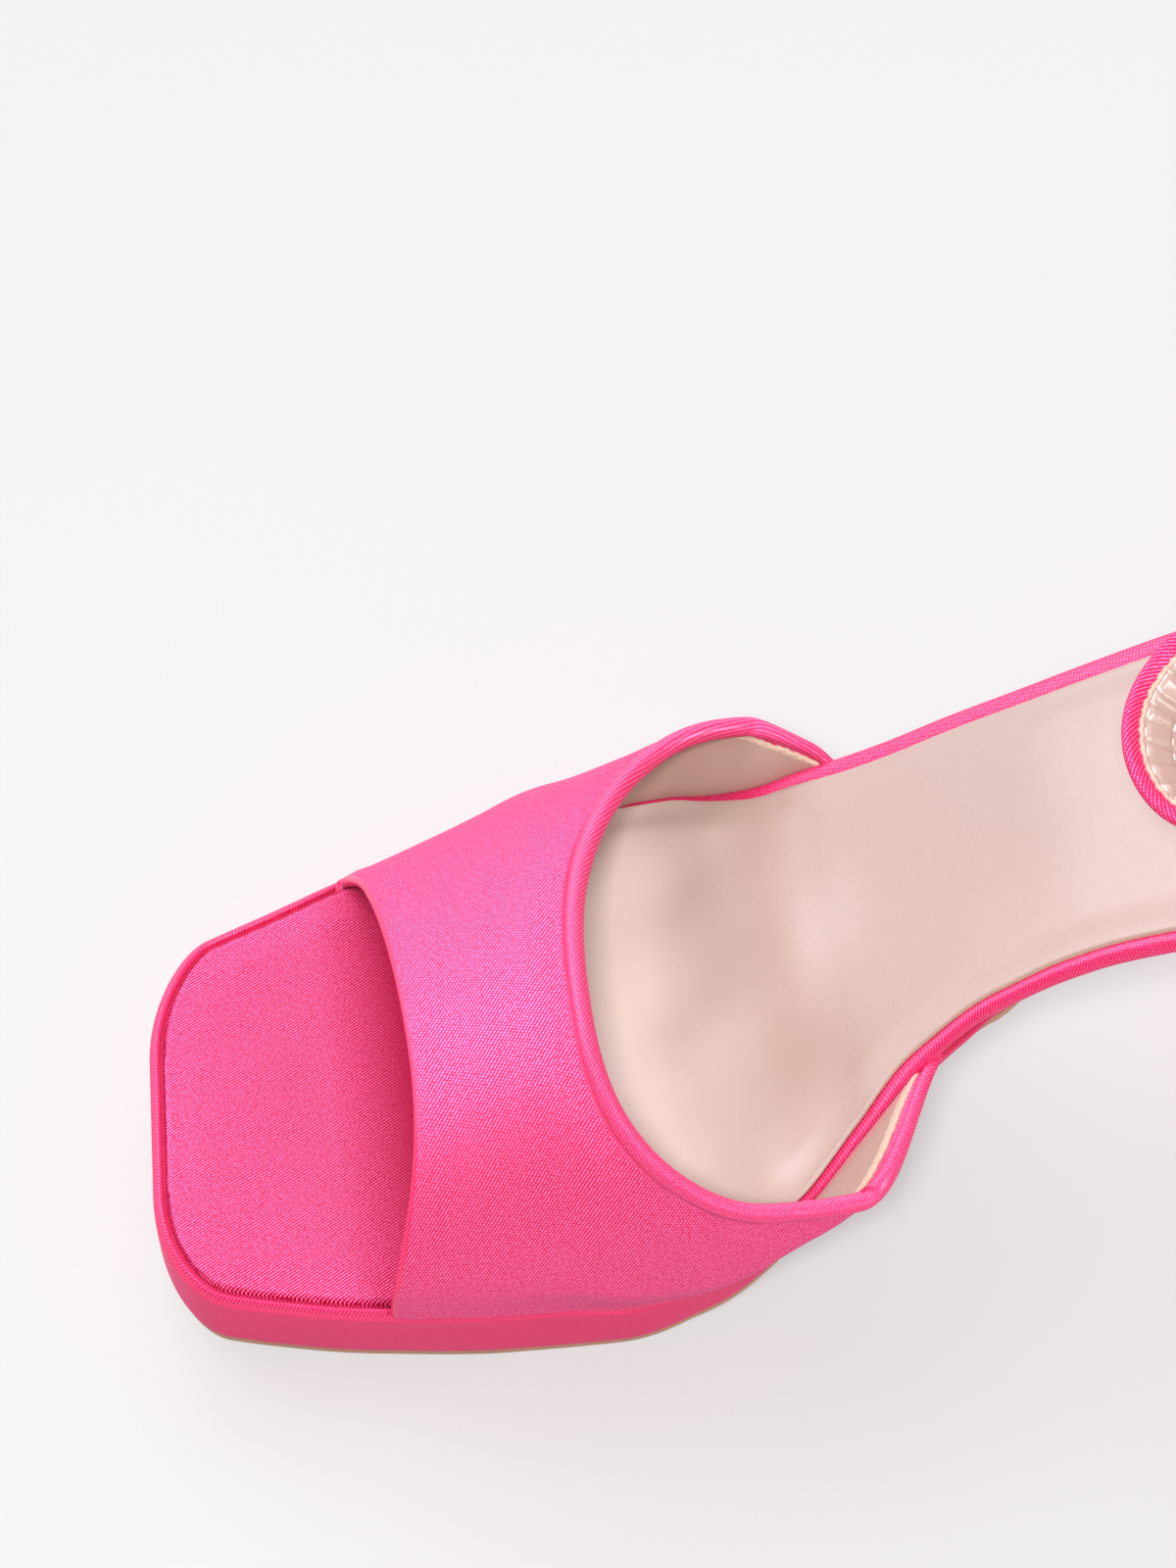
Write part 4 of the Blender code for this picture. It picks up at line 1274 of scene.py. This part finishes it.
def strap_lining():
    """The gathered lining, whose two cut edges are raw."""
    share = np.linspace(-1, 1, STRAP_LINING_STEPS + 1).reshape(1, -1)
    scallop = 0.22 * puff(STRAP_RUN + 0.6, 0.0) + 0.1 * np.sin(STRAP_RUN * 4.3)
    across = share * (STRAP_LINING_HALF + scallop)
    inner = -lining_height(STRAP_RUN, across)
    outer = 0 * across - STRAP_INSIDE + STRAP_LINING_SINK
    there_and_back = np.concatenate([across, across[:, ::-1]], axis=1)
    grid = strap_points(there_and_back, np.concatenate([inner, outer], axis=1))
    last = STRAP_LINING_STEPS
    raw = {0, 1, last - 2, last - 1, last, 2 * last + 1}
    return tube("strap_lining", grid, [GATHERS, CREAM], slot="sock_leather",
                pick=lambda row, column: int(column in raw))


STITCH_LENGTH = 2.1
STITCH_START = 0.4        # behind the gather's own start
STITCH_FIRST = 2          # gathers without a stitch at one end of the strap, and at the other
STITCH_LAST = 3
STITCH_RADIUS = 0.17
STITCH_END_SHARE = 0.25   # of that radius, where the thread goes in
STITCH_DIP = 0.35
STITCH_SIDES = 8
STITCH_RINGS = 9


def stitch_ring(place, row, share):
    """Points round a stitch's thread, at a distance along the strap and a share of the stitch."""
    centre, up, face, run = STRAP_AXES
    at, way_up, way_out = (np.array([np.interp(place, run, line[:, i]) for i in range(3)])
                           for line in (centre, up, face))
    way_up, way_out = unit(way_up), unit(way_out)
    rise = math.sin(math.pi * share)
    dip = STITCH_DIP * (1 - rise ** 0.5)
    middle = at + way_up * row - way_out * (lining_height(place, row) - dip)
    swell = STITCH_RADIUS * (STITCH_END_SHARE + (1 - STITCH_END_SHARE) * rise ** 0.4)
    angles = np.linspace(0, 2 * math.pi, STITCH_SIDES, endpoint=False)
    return [middle + swell * (way_up * math.cos(a) - way_out * math.sin(a)) for a in angles]


def strap_stitches():
    """Two rows of lock stitches that hold the gathers, each stitch a short thread that dips at both ends."""
    mesh = bmesh.new()
    count = int(STRAP_RUN[-1, 0] / PUFF_PITCH) - STITCH_LAST
    for row in (-STITCH_ROW, STITCH_ROW):
        for k in range(STITCH_FIRST, count):
            start = k * PUFF_PITCH + STITCH_START
            rings = []
            for share in np.linspace(0, 1, STITCH_RINGS):
                ring = stitch_ring(start + STITCH_LENGTH * share, row, share)
                rings.append([mesh.verts.new((point - ORIGIN) * MM) for point in ring])
            for low, high in zip(rings, rings[1:]):
                for i in range(STITCH_SIDES):
                    after = (i + 1) % STITCH_SIDES
                    mesh.faces.new((low[i], low[after], high[after], high[i]))
            mesh.faces.new(rings[0])
            mesh.faces.new(rings[-1])
    bmesh.ops.recalc_face_normals(mesh, faces=mesh.faces)
    return finished("strap_stitches", mesh, [THREAD])


# Light, floor and camera

FLOOR_HALF = 6.0
FLOOR_COLOUR = (0.38, 0.38, 0.38)
FLOOR_GLOW = (0.37, 0.375, 0.375)   # a lit white sweep, so that shadows stay pale


def floor():
    mesh = bmesh.new()
    bmesh.ops.create_grid(mesh, x_segments=1, y_segments=1, size=FLOOR_HALF)
    data = bpy.data.meshes.new("floor")
    mesh.to_mesh(data)
    mesh.free()
    finish = Finish("floor_paper")
    speck = finish.noise(finish.place(), 900.0, 2.0)
    data.materials.append(finish.use(
        Base_Color=FLOOR_COLOUR,
        Roughness=0.9,
        Specular_IOR_Level=0.1,
        Emission_Color=FLOOR_GLOW,
        Emission_Strength=1.0,
        Normal=finish.raised(speck, 0.00002, 0.3),
    ))
    made = placed("floor", data)
    all_but_floor = bpy.data.collections.new("floor_only")
    all_but_floor.objects.link(made)
    all_but_floor.collection_objects[0].light_linking.link_state = "EXCLUDE"
    return all_but_floor


LIGHT_TARGET = (0.0, 0.0, 0.04)
# Square lights, in metres: only the one beside the camera falls on the floor, so that shadows stay narrow
LIGHTS = table(
    "name place size power colour on_floor diffuse glossy",
    ("softbox", (1.1, -0.9, 1.75), 1.0, 36.0, (1.0, 0.99, 0.98), False, True, True),
    ("front", (-0.31, -1.01, 2.08), 0.3, 42.0, (1.0, 0.98, 0.97), True, True, False),
    ("strip", (-1.5, 0.8, 1.55), 1.4, 20.0, (0.93, 0.9, 1.0), False, True, True),
    ("top", (-0.75, -0.1, 2.2), 0.7, 9.0, (1.0, 1.0, 1.0), False, False, True),
)


def soft_light(light, all_but_floor):
    """A light that faces the shoe and may leave out the floor, matt surfaces or glossy ones."""
    data = bpy.data.lights.new(light.name, "AREA")
    data.size = light.size
    data.energy = light.power
    data.color = light.colour
    made = placed(light.name, data)
    made.location = light.place
    made.rotation_euler = (Vector(LIGHT_TARGET) - Vector(light.place)).to_track_quat("-Z", "Y").to_euler()
    made.visible_diffuse = light.diffuse
    made.visible_glossy = light.glossy
    made.light_linking.receiver_collection = None if light.on_floor else all_but_floor


SKY_BRIGHT_WAY = (-0.35, 0.90, 0.25)  # a white wall stands behind the shoe's outer side
SKY_DIM_SHARE = 0.4
SKY_DIM = (0.30, 0.30, 0.31)
SKY_BRIGHT = (3.0, 2.95, 3.2)
SKY_STRENGTH = 1.0


def sky():
    """A dim room with one bright side."""
    world = bpy.data.worlds.new("studio")
    bpy.context.scene.world = world
    nodes = Nodes(world)
    facing = nodes.add("ShaderNodeVectorMath", {0: nodes.add("ShaderNodeTexCoord"), 1: SKY_BRIGHT_WAY},
                       output=1, operation="DOT_PRODUCT")
    shade = nodes.add("ShaderNodeValToRGB", {"Fac": facing})
    dim, bright = shade.node.color_ramp.elements
    dim.position = SKY_DIM_SHARE
    dim.color = (*SKY_DIM, 1.0)
    bright.color = (*SKY_BRIGHT, 1.0)
    background = world.node_tree.nodes["Background"]
    nodes.fill(background.inputs["Color"], shade)
    nodes.fill(background.inputs["Strength"], SKY_STRENGTH)


# The camera looks down across the shoe from its inner side
CAMERA_PLACE = (6.16, -462.1, 908.2)
CAMERA_PITCH = math.radians(60.0)
CAMERA_YAW = math.radians(7.5)
CAMERA_LENS = 150.75
CAMERA_SENSOR = 36.0
CAMERA_CLIP = (0.05, 30.0)


def camera():
    right = Vector((math.cos(CAMERA_YAW), -math.sin(CAMERA_YAW), 0.0))
    level = math.cos(CAMERA_PITCH)
    ahead = Vector((math.sin(CAMERA_YAW) * level, math.cos(CAMERA_YAW) * level, -math.sin(CAMERA_PITCH)))
    up = right.cross(ahead)
    data = bpy.data.cameras.new("camera")
    data.lens = CAMERA_LENS
    data.sensor_width = CAMERA_SENSOR
    data.clip_start, data.clip_end = CAMERA_CLIP
    made = placed("camera", data)
    turn = Matrix((right, up, -ahead)).transposed()
    made.matrix_world = Matrix.Translation((np.array(CAMERA_PLACE) - ORIGIN) * MM) @ turn.to_4x4()
    bpy.context.scene.camera = made


def main():
    insole_board()
    platform()
    outsole()
    sock("toe_sock_pad", toe_sock_inset, 0.0, TOE_SOCK_END, TOE_DENTS, [SATIN_TOE],
         "toe_sock", bias=-20.0, fine=1.25)
    sock("insole_sock_pad", insole_sock_inset, TOE_SOCK_END + GAP, SHOE_LENGTH, BALL_DENTS, [NUDE, CREAM],
         "insole_sock")
    heel()
    heel_tip()
    vamp()
    vamp_lining()
    counter()
    counter_lining()
    ankle_strap()
    strap_lining()
    strap_stitches()
    all_but_floor = floor()
    sky()
    for light in LIGHTS:
        soft_light(light, all_but_floor)
    camera()
    bpy.context.scene.view_settings.view_transform = "Standard"


main()
